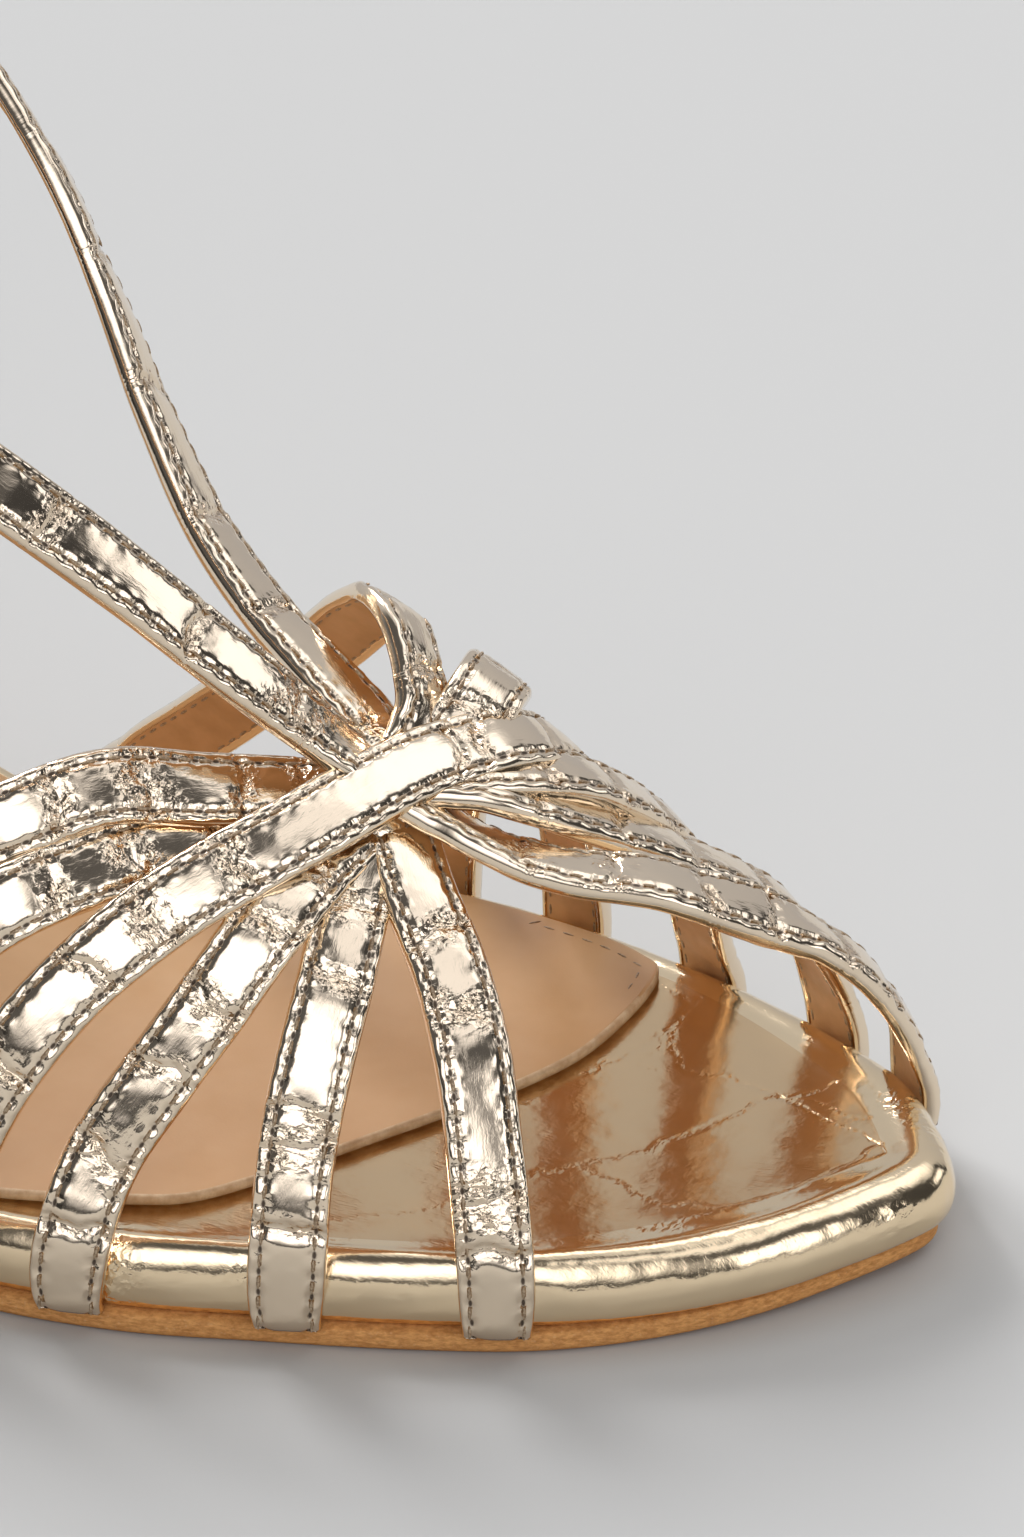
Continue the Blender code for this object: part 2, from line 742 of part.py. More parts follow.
def wire_solid(obj, points, radius, closed):
    """Fill an object with a round bar along a path through bevelled curve geometry."""
    line = bpy.data.curves.new(obj.name + "_line", "CURVE")
    line.dimensions = "3D"
    line.bevel_depth = radius * MM
    line.bevel_resolution = 2
    line.use_fill_caps = not closed
    spline = line.splines.new("POLY")
    spline.points.add(len(points) - 1)
    for spot, point in zip(spline.points, points):
        spot.co = (*to_frame(point), 1.0)
    spline.use_cyclic_u = closed
    shape = bpy.data.objects.new(obj.name + "_line", line)
    mesh = bmesh.new()
    mesh.from_mesh(shape.to_mesh())
    bmesh.ops.remove_doubles(mesh, verts=mesh.verts, dist=0.00001)
    bmesh.ops.recalc_face_normals(mesh, faces=mesh.faces)
    mesh.to_mesh(obj.data)
    mesh.free()
    bpy.data.objects.remove(shape)
    bpy.data.curves.remove(line)


def make_buckle(home):
    """Make the plain frame and prong on the outer side of the ankle strap."""
    path = sampled(ankle_strap_path(), 1.0)
    along, faces, sides = strap_frames(path)
    outer = [k for k in range(len(path)) if path[k][1] < 0 and path[k][2] > 110]
    spot = min(outer, key=lambda k: abs(path[k][0] - BUCKLE_STATION))
    here, run, out, across = path[spot], along[spot], faces[spot], sides[spot]
    lift = STRAP_THICKNESS / 2 + FIT_GAP + BUCKLE_WIRE / 2
    half_run = (BUCKLE_LENGTH - BUCKLE_WIRE) / 2 - BUCKLE_CORNER
    half_across = (BUCKLE_HEIGHT - BUCKLE_WIRE) / 2 - BUCKLE_CORNER
    ring = []
    for corner in range(4):
        for step in range(4):
            turn = math.pi / 2 * (corner + step / 3)
            right = 1 if corner in (0, 3) else -1
            high = 1 if corner in (0, 1) else -1
            a = right * half_run + BUCKLE_CORNER * math.cos(turn)
            b = high * half_across + BUCKLE_CORNER * math.sin(turn)
            ring.append(here + a * run + b * across + lift * out)
    wire_solid(new_object("buckle_frame", "gold_metal", home), ring, BUCKLE_WIRE / 2, True)
    above = lift + BUCKLE_WIRE / 2 + FIT_GAP + PRONG_WIRE / 2
    reach = BUCKLE_LENGTH / 2
    bar = [here + k * reach * run + above * out for k in (-1.0, -0.5, 0.0, 0.5, 1.0)]
    wire_solid(new_object("buckle_prong", "gold_metal", home), bar, PRONG_WIRE / 2, False)


def main():
    """Build the whole shoe."""
    for obj in list(bpy.data.objects):
        bpy.data.objects.remove(obj)
    home = bpy.data.collections.new("ankle_strap_sandal")
    bpy.context.scene.collection.children.link(home)
    make_outsole(home)
    make_footbed(home)
    make_sock(home)
    make_counter(home)
    make_heel(home)
    make_upper(home)
    make_buckle(home)


main()
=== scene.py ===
"""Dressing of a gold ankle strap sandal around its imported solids.

A place on the shoe is given in millimetres: its station behind the toe tip, its offset across the
shoe (plus is the big toe side) and its height above the floor.
"""
import logging
import math
from dataclasses import dataclass, field
from enum import Enum
from typing import Callable, NamedTuple, Optional, Sequence, Union

import bmesh
import bpy
import numpy as np
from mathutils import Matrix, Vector, noise


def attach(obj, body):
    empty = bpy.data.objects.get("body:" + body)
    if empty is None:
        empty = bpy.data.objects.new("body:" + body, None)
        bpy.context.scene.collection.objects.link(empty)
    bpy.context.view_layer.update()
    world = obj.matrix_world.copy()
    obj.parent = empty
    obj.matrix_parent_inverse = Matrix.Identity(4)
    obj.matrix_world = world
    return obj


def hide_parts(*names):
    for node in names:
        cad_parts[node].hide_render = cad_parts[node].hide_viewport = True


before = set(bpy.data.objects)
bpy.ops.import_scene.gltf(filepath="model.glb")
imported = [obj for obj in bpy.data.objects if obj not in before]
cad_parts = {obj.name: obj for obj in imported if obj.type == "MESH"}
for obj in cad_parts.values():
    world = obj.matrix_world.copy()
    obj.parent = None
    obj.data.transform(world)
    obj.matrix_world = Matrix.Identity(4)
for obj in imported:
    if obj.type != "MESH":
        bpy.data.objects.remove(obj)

LOG = logging.getLogger("sandal")
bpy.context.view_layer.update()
MM = 0.001
ORIGIN_STATION = 114.0
ORIGIN_ACROSS = 0.83
FIT_GAP = 0.3
SHOE_LENGTH = 228.0
STITCH_PITCH = 2.4
STITCH_ROW = 2.75
STRAP_WIDTH = 8.0
STRAP_THICK = 2.0
# Points nearer than this are one, and faces thinner than this are dropped
MERGE_DISTANCE = 0.002
SLIVER = 0.0005
BODY = "root"

# Plan outline of the footbed bead: station, outer side, inner side
OUTLINE = (
    (0.0, 10.3, 10.3), (2.0, 4.2, 15.6), (5.5, -1.6, 20.6), (11.0, -9.2, 26.4), (19.0, -16.6, 31.2),
    (29.0, -23.2, 35.0), (42.0, -29.0, 38.6), (57.0, -34.2, 41.4), (72.0, -38.8, 42.2),
    (88.0, -40.6, 40.4), (106.0, -38.6, 36.2), (132.0, -32.6, 30.2), (158.0, -29.4, 28.2),
    (182.0, -29.2, 28.2), (202.0, -28.4, 27.6), (217.0, -22.0, 21.6), (225.5, -11.0, 11.0),
    (228.0, 0.0, 0.0),
)
# Side profile of the sole: station, footbed top, footbed thickness, outsole thickness
PROFILE = (
    (0.0, 11.8, 7.9, 1.9), (12.0, 10.9, 7.9, 2.1), (26.0, 10.4, 7.9, 2.2), (88.0, 10.4, 7.9, 2.2),
    (100.0, 11.4, 7.3, 2.3), (110.0, 13.9, 6.4, 2.4), (119.0, 17.9, 5.5, 2.4), (131.0, 26.0, 4.6, 2.4),
    (146.0, 39.5, 4.2, 2.4), (165.0, 56.5, 4.2, 2.4), (185.0, 70.0, 4.2, 2.4), (205.0, 77.8, 4.2, 2.4),
    (228.0, 82.0, 4.2, 2.4),
)
# Rounded edge of the footbed: inset from the outline, share of the thickness
BEAD = (
    (1.0, 0.0), (0.3, 0.10), (0.0, 0.28), (0.05, 0.50), (0.5, 0.74), (1.4, 0.91), (2.6, 0.98),
    (3.8, 0.955), (5.0, 0.94),
)
# How far the outsole stands out past the bead: station, lip
LIP = ((0.0, -1.7), (8.0, -1.6), (20.0, -0.7), (36.0, 0.3), (200.0, 0.3), (228.0, 0.0))
# How much wider the bead is at the toe: station, share
BEAD_SPREAD = ((0.0, 1.5), (16.0, 1.45), (40.0, 1.0), (228.0, 1.0))
# Plan outline of the sock: station, outer side, inner side
SOCK = (
    (42.4, 27.0, 27.0), (43.2, 16.5, 33.0), (46.0, 8.0, 35.2), (50.0, 0.5, 36.6), (58.0, -13.0, 37.8),
    (63.0, -21.5, 38.2), (68.0, -28.0, 38.4), (74.0, -31.2, 38.4), (80.0, -33.6, 37.8),
    (90.0, -36.2, 36.2), (106.0, -34.2, 32.2), (132.0, -28.4, 26.2), (158.0, -25.2, 24.2),
    (182.0, -25.0, 24.2), (202.0, -24.0, 23.4), (213.0, -19.0, 18.8), (220.0, -11.0, 11.0),
    (223.0, 0.0, 0.0),
)
# Core line of the foot, which turns every strap's face outwards: station, across, height
CORE = (
    (45.0, 4.0, 12.0), (60.0, 2.0, 14.0), (80.0, 0.0, 20.0), (100.0, 0.0, 32.0), (125.0, 0.0, 60.0),
    (150.0, 0.0, 95.0), (178.0, 0.0, 112.0), (192.0, 0.0, 120.0),
)
# Straps from the outer edge over the vamp to the inner edge: station, across, height
ANKLE_ROWS = (
    (34.2, -27.0, 11.5), (37.2, -23.2, 22.1), (40.3, -19.4, 30.0), (45.3, -14.3, 36.6), (50.7, -9.9, 41.5),
    (55.5, -5.0, 46.0), (60.5, 1.0, 52.0), (67.5, 3.5, 56.0), (75.5, 6.5, 60.0), (85.0, 11.0, 66.5),
    (92.0, 15.0, 74.0), (100.5, 20.5, 84.5), (108.5, 24.5, 94.8), (118.0, 28.7, 102.8),
    (137.0, 32.5, 116.0), (160.0, 33.0, 127.0),
)
ANKLE_TAIL = (
    (184.0, -34.0, 131.5), (170.0, -34.8, 128.5), (156.0, -34.9, 123.0), (147.0, -34.7, 118.8),
)
FIRST_ROWS = (
    (178.0, -32.4, 129.5), (160.0, -33.0, 124.5), (134.0, -32.0, 112.5), (110.0, -28.5, 99.0),
    (90.5, -23.5, 86.0), (80.5, -17.5, 75.5), (71.0, -11.0, 64.0), (62.0, -5.0, 53.5),
    (53.0, -3.0, 47.0), (45.0, -3.0, 44.5), (39.0, -1.0, 42.5), (31.0, 3.5, 40.8), (25.0, 8.5, 37.0),
    (20.3, 15.0, 32.0), (15.3, 19.0, 27.0), (12.0, 22.5, 20.0),
)
SECOND_ROWS = (
    (53.9, -34.5, 11.5), (54.4, -31.0, 22.1), (54.5, -25.9, 31.0), (54.8, -20.8, 36.8), (56.2, -13.9, 41.8),
    (57.0, -6.0, 47.0), (57.0, 4.0, 52.0), (60.0, 9.0, 57.0), (64.0, 13.0, 59.5), (69.5, 17.0, 56.0),
    (75.0, 20.0, 50.0), (93.0, 28.0, 32.0), (103.0, 32.8, 22.0),
)
THIRD_ROWS = (
    (75.2, -40.5, 11.2), (73.3, -36.8, 19.8), (69.0, -32.9, 28.0), (64.8, -28.3, 35.6), (61.7, -21.9, 42.0),
    (60.0, -14.0, 45.0), (57.0, -3.0, 47.2), (53.5, 6.0, 51.5), (53.0, 12.0, 54.0), (56.0, 20.0, 50.0),
    (64.0, 32.0, 37.0), (71.0, 40.5, 20.0),
)
FOURTH_ROWS = (
    (116.0, -37.5, 25.0), (103.0, -34.5, 40.0), (95.0, -32.0, 46.5), (88.5, -29.0, 50.5),
    (79.5, -21.0, 53.0), (73.0, -15.0, 51.0), (66.5, -9.0, 49.3), (57.0, -2.0, 48.0), (47.0, 2.5, 47.6),
    (42.0, 7.0, 44.3), (38.0, 12.0, 40.5), (33.5, 17.0, 36.2), (29.0, 22.0, 31.5), (26.0, 26.5, 26.5),
    (24.2, 30.5, 19.0),
)
FIFTH_ROWS = (
    (104.0, -40.0, 19.0), (97.0, -38.5, 31.0), (91.0, -36.5, 39.5), (86.0, -34.0, 44.0),
    (79.0, -26.0, 46.3), (72.0, -17.0, 46.6), (60.0, -4.5, 47.4), (50.0, 3.0, 49.0), (43.5, 11.0, 46.3),
    (40.5, 17.5, 41.2), (38.5, 24.0, 35.0), (38.5, 30.0, 27.0), (39.5, 35.5, 16.0),
)
BAND_ROWS = (
    (88.0, -41.5, 18.0), (83.5, -39.5, 28.5), (78.0, -34.5, 37.0), (72.0, -28.0, 43.0),
    (61.5, -15.0, 49.0), (53.5, 1.0, 51.0), (49.5, 7.5, 50.5), (48.0, 14.0, 47.5), (49.5, 21.5, 41.5),
    (54.0, 33.0, 27.0),
)
# The way in which straps over the vamp turn towards the inner side: station, across, height
INWARD_WAY = (-0.35, 0.9, -0.1)


class Crease(NamedTuple):
    """A cross crease of a strap: place along it, slant, depth and half length of the crumpled zone."""

    at: float
    lean: float
    deep: float
    zone: float


# Creases of each strap, in millimetres along it from its first end
ANKLE_CREASES = (
    (10.6, 0.10, 0.50, 0.9), (15.4, -0.15, 0.16, 3.6), (34.8, 0.12, 0.22, 2.0), (43.6, -0.20, 0.26, 1.7),
    (56.5, 0.25, 0.18, 1.8), (67.5, -0.15, 0.20, 2.2), (84.0, 0.2, 0.18, 1.2), (97.0, -0.1, 0.2, 1.4),
    (112.0, 0.15, 0.18, 1.2), (127.0, -0.2, 0.2, 1.3), (141.0, 0.1, 0.18, 1.2), (156.0, 0.2, 0.2, 1.5),
    (171.0, -0.15, 0.2, 1.2), (188.0, 0.1, 0.2, 1.6), (203.0, 0.2, 0.18, 1.2), (219.0, -0.2, 0.2, 1.4),
    (236.0, 0.1, 0.2, 1.2), (252.0, -0.1, 0.2, 1.5), (268.0, 0.2, 0.18, 1.2), (285.0, -0.15, 0.2, 1.4),
    (300.0, 0.1, 0.18, 1.2), (318.0, 0.2, 0.2, 1.3), (352.0, -0.1, 0.18, 1.2), (366.0, 0.15, 0.18, 1.2),
)
FIRST_CREASES = (
    (12.0, 0.1, 0.18, 1.2), (40.0, -0.2, 0.2, 1.3), (52.0, 0.15, 0.18, 1.2), (65.0, -0.1, 0.2, 1.5),
    (79.0, 0.2, 0.18, 1.2), (91.0, -0.15, 0.2, 1.3), (105.2, 0.25, 0.24, 1.9), (125.0, 0.12, 0.30, 0.9),
    (139.5, 0.2, 0.12, 4.2), (151.0, 0.1, 0.2, 1.4), (168.0, -0.2, 0.2, 1.5), (178.0, 0.2, 0.2, 2.2),
    (188.0, -0.1, 0.18, 1.2), (197.0, 0.15, 0.2, 1.3), (206.0, -0.2, 0.18, 1.2), (214.0, 0.1, 0.2, 1.4),
    (222.0, 0.1, 0.18, 1.2),
)
SECOND_CREASES = (
    (12.2, 0.12, 0.50, 0.9), (20.4, -0.12, 0.18, 2.2), (24.0, 0.1, 0.18, 0.8), (38.0, 0.30, 0.24, 1.3),
    (45.8, -0.15, 0.18, 2.2), (53.5, 0.2, 0.2, 1.3), (62.0, 0.1, 0.14, 2.0), (74.0, -0.2, 0.22, 1.5),
    (83.0, 0.1, 0.2, 1.2), (97.0, 0.15, 0.18, 1.0), (111.0, -0.1, 0.2, 1.2), (126.0, 0.2, 0.18, 1.0),
    (140.0, -0.15, 0.2, 1.2), (150.0, 0.1, 0.18, 1.0),
)
THIRD_CREASES = (
    (10.6, -0.1, 0.46, 0.9), (18.6, 0.2, 0.16, 2.2), (29.5, -0.15, 0.22, 1.2), (37.5, 0.15, 0.18, 2.2),
    (47.5, -0.25, 0.22, 1.4), (55.0, 0.1, 0.18, 1.5), (67.0, 0.1, 0.16, 2.0), (82.0, -0.2, 0.2, 1.4),
    (89.0, 0.15, 0.2, 1.2), (103.0, 0.1, 0.18, 1.0), (118.0, -0.15, 0.2, 1.2), (133.0, 0.2, 0.18, 1.0),
    (146.0, -0.1, 0.2, 1.2),
)
FOURTH_CREASES = (
    (9.0, 0.1, 0.2, 1.2), (21.0, -0.2, 0.2, 1.4), (34.0, 0.15, 0.2, 1.2), (46.0, -0.1, 0.2, 1.6),
    (57.0, 0.2, 0.22, 1.4), (66.5, -0.15, 0.16, 3.0), (77.0, 0.1, 0.22, 1.4), (84.0, -0.1, 0.18, 2.0),
    (108.0, 0.2, 0.2, 1.4), (118.0, -0.15, 0.2, 1.6), (128.0, 0.1, 0.18, 1.2), (138.0, -0.2, 0.2, 1.4),
    (147.0, 0.1, 0.2, 1.2), (157.0, 0.1, 0.18, 1.0),
)
FIFTH_CREASES = (
    (8.0, 0.1, 0.2, 1.2), (19.0, -0.15, 0.2, 1.4), (31.0, 0.2, 0.2, 1.2), (41.0, -0.1, 0.2, 1.5),
    (49.5, 0.15, 0.22, 1.5), (58.5, -0.2, 0.16, 2.6), (67.5, 0.1, 0.22, 1.4), (76.0, -0.1, 0.16, 2.4),
    (104.0, 0.2, 0.2, 1.4), (113.0, -0.15, 0.2, 1.4), (122.0, 0.1, 0.2, 1.6), (132.0, -0.1, 0.18, 1.2),
    (141.0, 0.15, 0.2, 1.2), (151.0, 0.1, 0.18, 1.0),
)
BAND_CREASES = (
    (9.5, 0.1, 0.24, 1.2), (18.0, -0.15, 0.16, 2.2), (29.0, 0.2, 0.2, 1.2), (42.0, -0.25, 0.26, 1.2),
    (49.5, 0.15, 0.14, 2.6), (59.5, -0.1, 0.18, 1.6), (87.2, 0.22, 0.26, 0.7), (90.0, 0.30, 0.24, 0.7),
    (99.6, 0.12, 0.22, 0.5), (112.0, -0.15, 0.2, 1.4), (126.0, 0.1, 0.2, 1.2), (140.0, -0.1, 0.2, 1.4),
)


class Vein(NamedTuple):
    """A branching crease of the footbed: depth, half width and its points as station and across."""

    deep: float
    broad: float
    points: tuple


VEINS = (
    Vein(0.22, 0.34, (
        (17.0, 29.5), (17.5, 24.5), (18.5, 20.5), (20.5, 18.0), (23.0, 16.5), (24.5, 14.0), (26.0, 10.0),
        (29.0, 4.5), (32.0, -0.5), (36.0, -5.0), (39.0, -7.0),
    )),
    Vein(0.16, 0.30, ((27.5, 18.0), (24.0, 17.5), (19.5, 16.0), (15.5, 14.5), (11.0, 13.0), (8.5, 11.5))),
    Vein(0.10, 0.26, ((22.5, 16.5), (18.0, 17.5), (14.0, 16.0), (11.5, 16.5))),
    Vein(0.18, 0.30, (
        (34.5, -4.5), (30.0, -5.5), (24.5, -7.5), (21.5, -6.0), (17.5, -4.5), (14.5, -1.0), (11.5, 4.0),
        (9.5, 8.5), (8.5, 11.5),
    )),
    Vein(0.14, 0.30, (
        (33.0, -20.0), (27.5, -16.0), (24.0, -13.0), (22.0, -9.5), (18.5, -6.5), (15.0, -4.5),
    )),
    Vein(0.16, 0.28, ((43.0, 32.5), (40.0, 31.5), (37.5, 30.0), (37.5, 34.0), (36.0, 37.0))),
    Vein(0.18, 0.30, (
        (37.5, 30.0), (38.0, 26.0), (39.0, 21.0), (40.5, 17.5), (42.5, 13.5), (44.5, 10.0), (45.5, 5.0),
    )),
    Vein(0.12, 0.26, ((38.0, 26.0), (37.0, 22.5), (35.5, 20.0), (33.0, 18.0), (29.0, 18.5), (27.5, 18.0))),
    Vein(0.10, 0.26, ((39.0, 23.0), (37.5, 20.5), (38.5, 17.0), (36.0, 16.5))),
    Vein(0.14, 0.30, (
        (54.0, -24.0), (50.0, -21.5), (46.5, -19.0), (44.5, -16.0), (41.0, -11.0), (38.5, -6.5),
    )),
)


def to_frame(places: np.ndarray) -> np.ndarray:
    """Turn places on the shoe into metres in the part's frame.

    Args:
        places: An array whose last axis holds station, across and height.

    Returns:
        An array of the same shape in metres.
    """
    ahead = ORIGIN_STATION - places[..., 0]
    beside = places[..., 1] - ORIGIN_ACROSS
    return np.stack([ahead, beside, places[..., 2]], axis=-1) * MM


def unit(ways: np.ndarray) -> np.ndarray:
    """Return directions of length one along the last axis."""
    return ways / np.linalg.norm(ways, axis=-1, keepdims=True)


def lengths_along(line: np.ndarray) -> np.ndarray:
    """Return how far along a line each of its points lies."""
    return np.concatenate([[0.0], np.cumsum(np.linalg.norm(np.diff(line, axis=0), axis=1))])


def points_along(line: np.ndarray, wanted: np.ndarray) -> np.ndarray:
    """Return the points of a line at the wanted lengths along it."""
    gone = lengths_along(line)
    return np.stack([np.interp(wanted, gone, line[:, k]) for k in range(3)], axis=1)


def with_height(plan: np.ndarray, height: np.ndarray) -> np.ndarray:
    """Return plan places that each have a height."""
    return np.concatenate([plan, height[..., None]], axis=-1)


def columns_between(first: np.ndarray, last: np.ndarray, count: int) -> np.ndarray:
    """Return the plan places of columns from one edge to the other.

    Args:
        first: One edge, with its rows on the first axis and one column on the second.
        last: The other edge in the same form.
        count: How many steps lie between them.

    Returns:
        Station and across for each row and column.
    """
    share = np.linspace(0, 1, count + 1)[None, :, None]
    return first[..., :2] * (1 - share) + last[..., :2] * share


class SmoothRun:
    """A smooth run through given values, with slopes taken from the neighbours."""

    def __init__(self, places: Sequence[float], values: Sequence, level: bool = False) -> None:
        """Prepare the run.

        Args:
            places: Where the values stand, in rising order.
            values: One number or one row of numbers for each place.
            level: Whether flat stretches and turning points stay level.
        """
        self.x = np.array(places, float)
        y = np.array(values, float)
        self.single = y.ndim == 1
        self.y = y[:, None] if self.single else y
        self.step = np.diff(self.x)
        rise = np.diff(self.y, axis=0) / self.step[:, None]
        before, after = self.step[:-1, None], self.step[1:, None]
        middle = (rise[:-1] * after + rise[1:] * before) / (before + after)
        if level:
            middle[rise[:-1] * rise[1:] <= 0] = 0.0
        self.slope = np.vstack([rise[:1], middle, rise[-1:]])

    def __call__(self, place: Union[float, np.ndarray]) -> np.ndarray:
        """Return the run's values.

        Args:
            place: One place or an array of them.

        Returns:
            The values there, with a last axis only where the run has rows.
        """
        at = np.clip(np.asarray(place, float), self.x[0], self.x[-1])
        i = np.clip(np.searchsorted(self.x, at) - 1, 0, len(self.step) - 1)
        step = self.step[i][..., None]
        t = (at - self.x[i])[..., None] / step
        keep = (2 * t**3 - 3 * t**2 + 1) * self.y[i] + (t**3 - 2 * t**2 + t) * step * self.slope[i]
        come = (3 * t**2 - 2 * t**3) * self.y[i + 1] + (t**3 - t**2) * step * self.slope[i + 1]
        both = keep + come
        return both[..., 0] if self.single else both


class Plan:
    """A plan outline whose two sides are smooth functions of the station."""

    def __init__(self, table: Sequence[Sequence[float]]) -> None:
        """Prepare both sides.

        Args:
            table: Rows of station, outer side and inner side, from front to back.
        """
        rows = np.array(table)
        self.front = rows[0, 0]
        self.length = rows[-1, 0] - self.front
        self.outer = SmoothRun(self.angle(rows[:, 0]), rows[:, 1])
        self.inner = SmoothRun(self.angle(rows[:, 0]), rows[:, 2])

    def angle(self, station: np.ndarray) -> np.ndarray:
        """Return the angle that stands for a station, so both ends close round."""
        return np.arccos(np.clip(1 - 2 * (station - self.front) / self.length, -1.0, 1.0))

    def edge(self, station: np.ndarray, side: np.ndarray) -> np.ndarray:
        """Return the outline's offset across the shoe, where a side below 0 is the outer one."""
        turn = self.angle(station)
        return np.where(np.asarray(side) < 0, self.outer(turn), self.inner(turn))

    def sides(self, turns: np.ndarray, inset: Union[float, Callable]) -> tuple[np.ndarray, np.ndarray]:
        """Return the inner and the outer side moved inwards along the outline's normals.

        Args:
            turns: Angles from 0 at the front tip to pi at the back.
            inset: Millimetres inwards, minus is outwards, or a function of the station.

        Returns:
            Two arrays of station and across, one row for each angle.
        """
        station = self.front + self.length * (1 - np.cos(turns)) / 2
        inner = np.stack([station, self.inner(turns)], axis=1)
        outer = np.stack([station, self.outer(turns)], axis=1)
        ring = np.concatenate([inner, outer[-2:0:-1]])
        along = unit(np.roll(ring, -1, axis=0) - np.roll(ring, 1, axis=0))
        normal = np.stack([-along[:, 1], along[:, 0]], axis=1)
        if np.sum((ring - ring.mean(axis=0)) * normal) < 0:
            normal = -normal
        amount = inset(ring[:, 0])[:, None] if callable(inset) else inset
        moved = ring - amount * normal
        count = len(turns)
        back = np.concatenate([moved[:1], moved[count:][::-1], moved[count - 1:count]])
        return moved[:count], back


SOLE = Plan(OUTLINE)
SOCK_PLAN = Plan(SOCK)
PROFILE_COLUMNS = np.array(PROFILE).T
FOOTBED_TOP = SmoothRun(PROFILE_COLUMNS[0], PROFILE_COLUMNS[1], level=True)
FOOTBED_THICK = SmoothRun(PROFILE_COLUMNS[0], PROFILE_COLUMNS[2], level=True)
OUTSOLE_THICK = SmoothRun(PROFILE_COLUMNS[0], PROFILE_COLUMNS[3], level=True)
OUTSOLE_LIP = SmoothRun(*np.array(LIP).T, level=True)
BEAD_WIDTH = SmoothRun(*np.array(BEAD_SPREAD).T, level=True)
CORE_POINTS = SmoothRun(range(len(CORE)), CORE)(np.linspace(0, len(CORE) - 1, 41))


def outsole_top(station: np.ndarray) -> np.ndarray:
    """Return the height of the outsole's upper side."""
    return FOOTBED_TOP(station) - FOOTBED_THICK(station) - FIT_GAP


def outsole_bottom(station: np.ndarray) -> np.ndarray:
    """Return the height of the outsole's tread."""
    return outsole_top(station) - OUTSOLE_THICK(station)


def eased(share: np.ndarray) -> np.ndarray:
    """Return shares from 0 to 1 with soft ends."""
    share = np.clip(share, 0.0, 1.0)
    return share * share * (3 - 2 * share)


def ripple(places: np.ndarray, size: float, seed: float) -> np.ndarray:
    """Return smooth noise from -1 to 1.

    Args:
        places: An array whose last axis holds two coordinates in millimetres.
        size: The width of one ripple in millimetres.
        seed: A number that picks the pattern.

    Returns:
        One value for each place.
    """
    flat = places.reshape(-1, 2) / size
    values = [noise.noise(Vector((a, b, seed))) for a, b in flat]
    return np.array(values).reshape(places.shape[:-1])


@dataclass
class Skin:
    """A grid of places that becomes a mesh, with what its material reads."""

    places: np.ndarray
    uv: Optional[np.ndarray] = None
    marks: dict[str, np.ndarray] = field(default_factory=dict)
    slots: Optional[np.ndarray] = None

    def make(self, name: str, materials: Sequence[bpy.types.Material]) -> bpy.types.Object:
        """Lay a grid onto the places, close what meets and shade it smooth.

        Args:
            name: The piece's name.
            materials: The finishes that slots counts in.

        Returns:
            The new object, linked to the scene.
        """
        rows, cols = self.places.shape[:2]
        mesh = bpy.data.meshes.new(name)
        grid = bmesh.new()
        bmesh.ops.create_grid(grid, x_segments=cols - 1, y_segments=rows - 1, size=0.5)
        grid.to_mesh(mesh)
        grid.free()
        mesh.vertices.foreach_set("co", to_frame(self.places).astype(np.float32).ravel())
        for label, values in self.marks.items():
            layer = mesh.attributes.new(label, "FLOAT", "POINT")
            layer.data.foreach_set("value", values.astype(np.float32).ravel())
        if self.uv is not None:
            corner = np.empty(len(mesh.loops), np.int32)
            mesh.loops.foreach_get("vertex_index", corner)
            layer = mesh.uv_layers.new(name="Surface")
            layer.uv.foreach_set("vector", self.uv.reshape(-1, 2)[corner].astype(np.float32).ravel())
        if self.slots is not None:
            pick = np.broadcast_to(self.slots, (rows - 1, cols - 1))
            mesh.polygons.foreach_set("material_index", pick.astype(np.int32).ravel())
        for material in materials:
            mesh.materials.append(material)
        closed = bmesh.new()
        closed.from_mesh(mesh)
        bmesh.ops.remove_doubles(closed, verts=closed.verts, dist=MERGE_DISTANCE * MM)
        bmesh.ops.dissolve_degenerate(closed, edges=closed.edges, dist=SLIVER * MM)
        bmesh.ops.recalc_face_normals(closed, faces=closed.faces)
        closed.to_mesh(mesh)
        closed.free()
        mesh.shade_smooth()
        return link(bpy.data.objects.new(name, mesh))


def link(obj: bpy.types.Object) -> bpy.types.Object:
    """Put an object into the scene and return it."""
    bpy.context.scene.collection.objects.link(obj)
    return obj


def settle(piece: bpy.types.Object, nodes: Sequence[str]) -> bpy.types.Object:
    """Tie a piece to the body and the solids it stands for.

    Args:
        piece: The finished object.
        nodes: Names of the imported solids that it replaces.

    Returns:
        The same object.
    """
    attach(piece, BODY)
    if nodes:
        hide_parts(*nodes)
    LOG.info("%s: %d faces", piece.name, len(piece.data.polygons))
    return piece


class Coords(Enum):
    """Where a finish takes its pattern from."""

    SURFACE = "UV"
    BODY = "Object"


Socket = Union[bpy.types.NodeSocket, float, tuple]


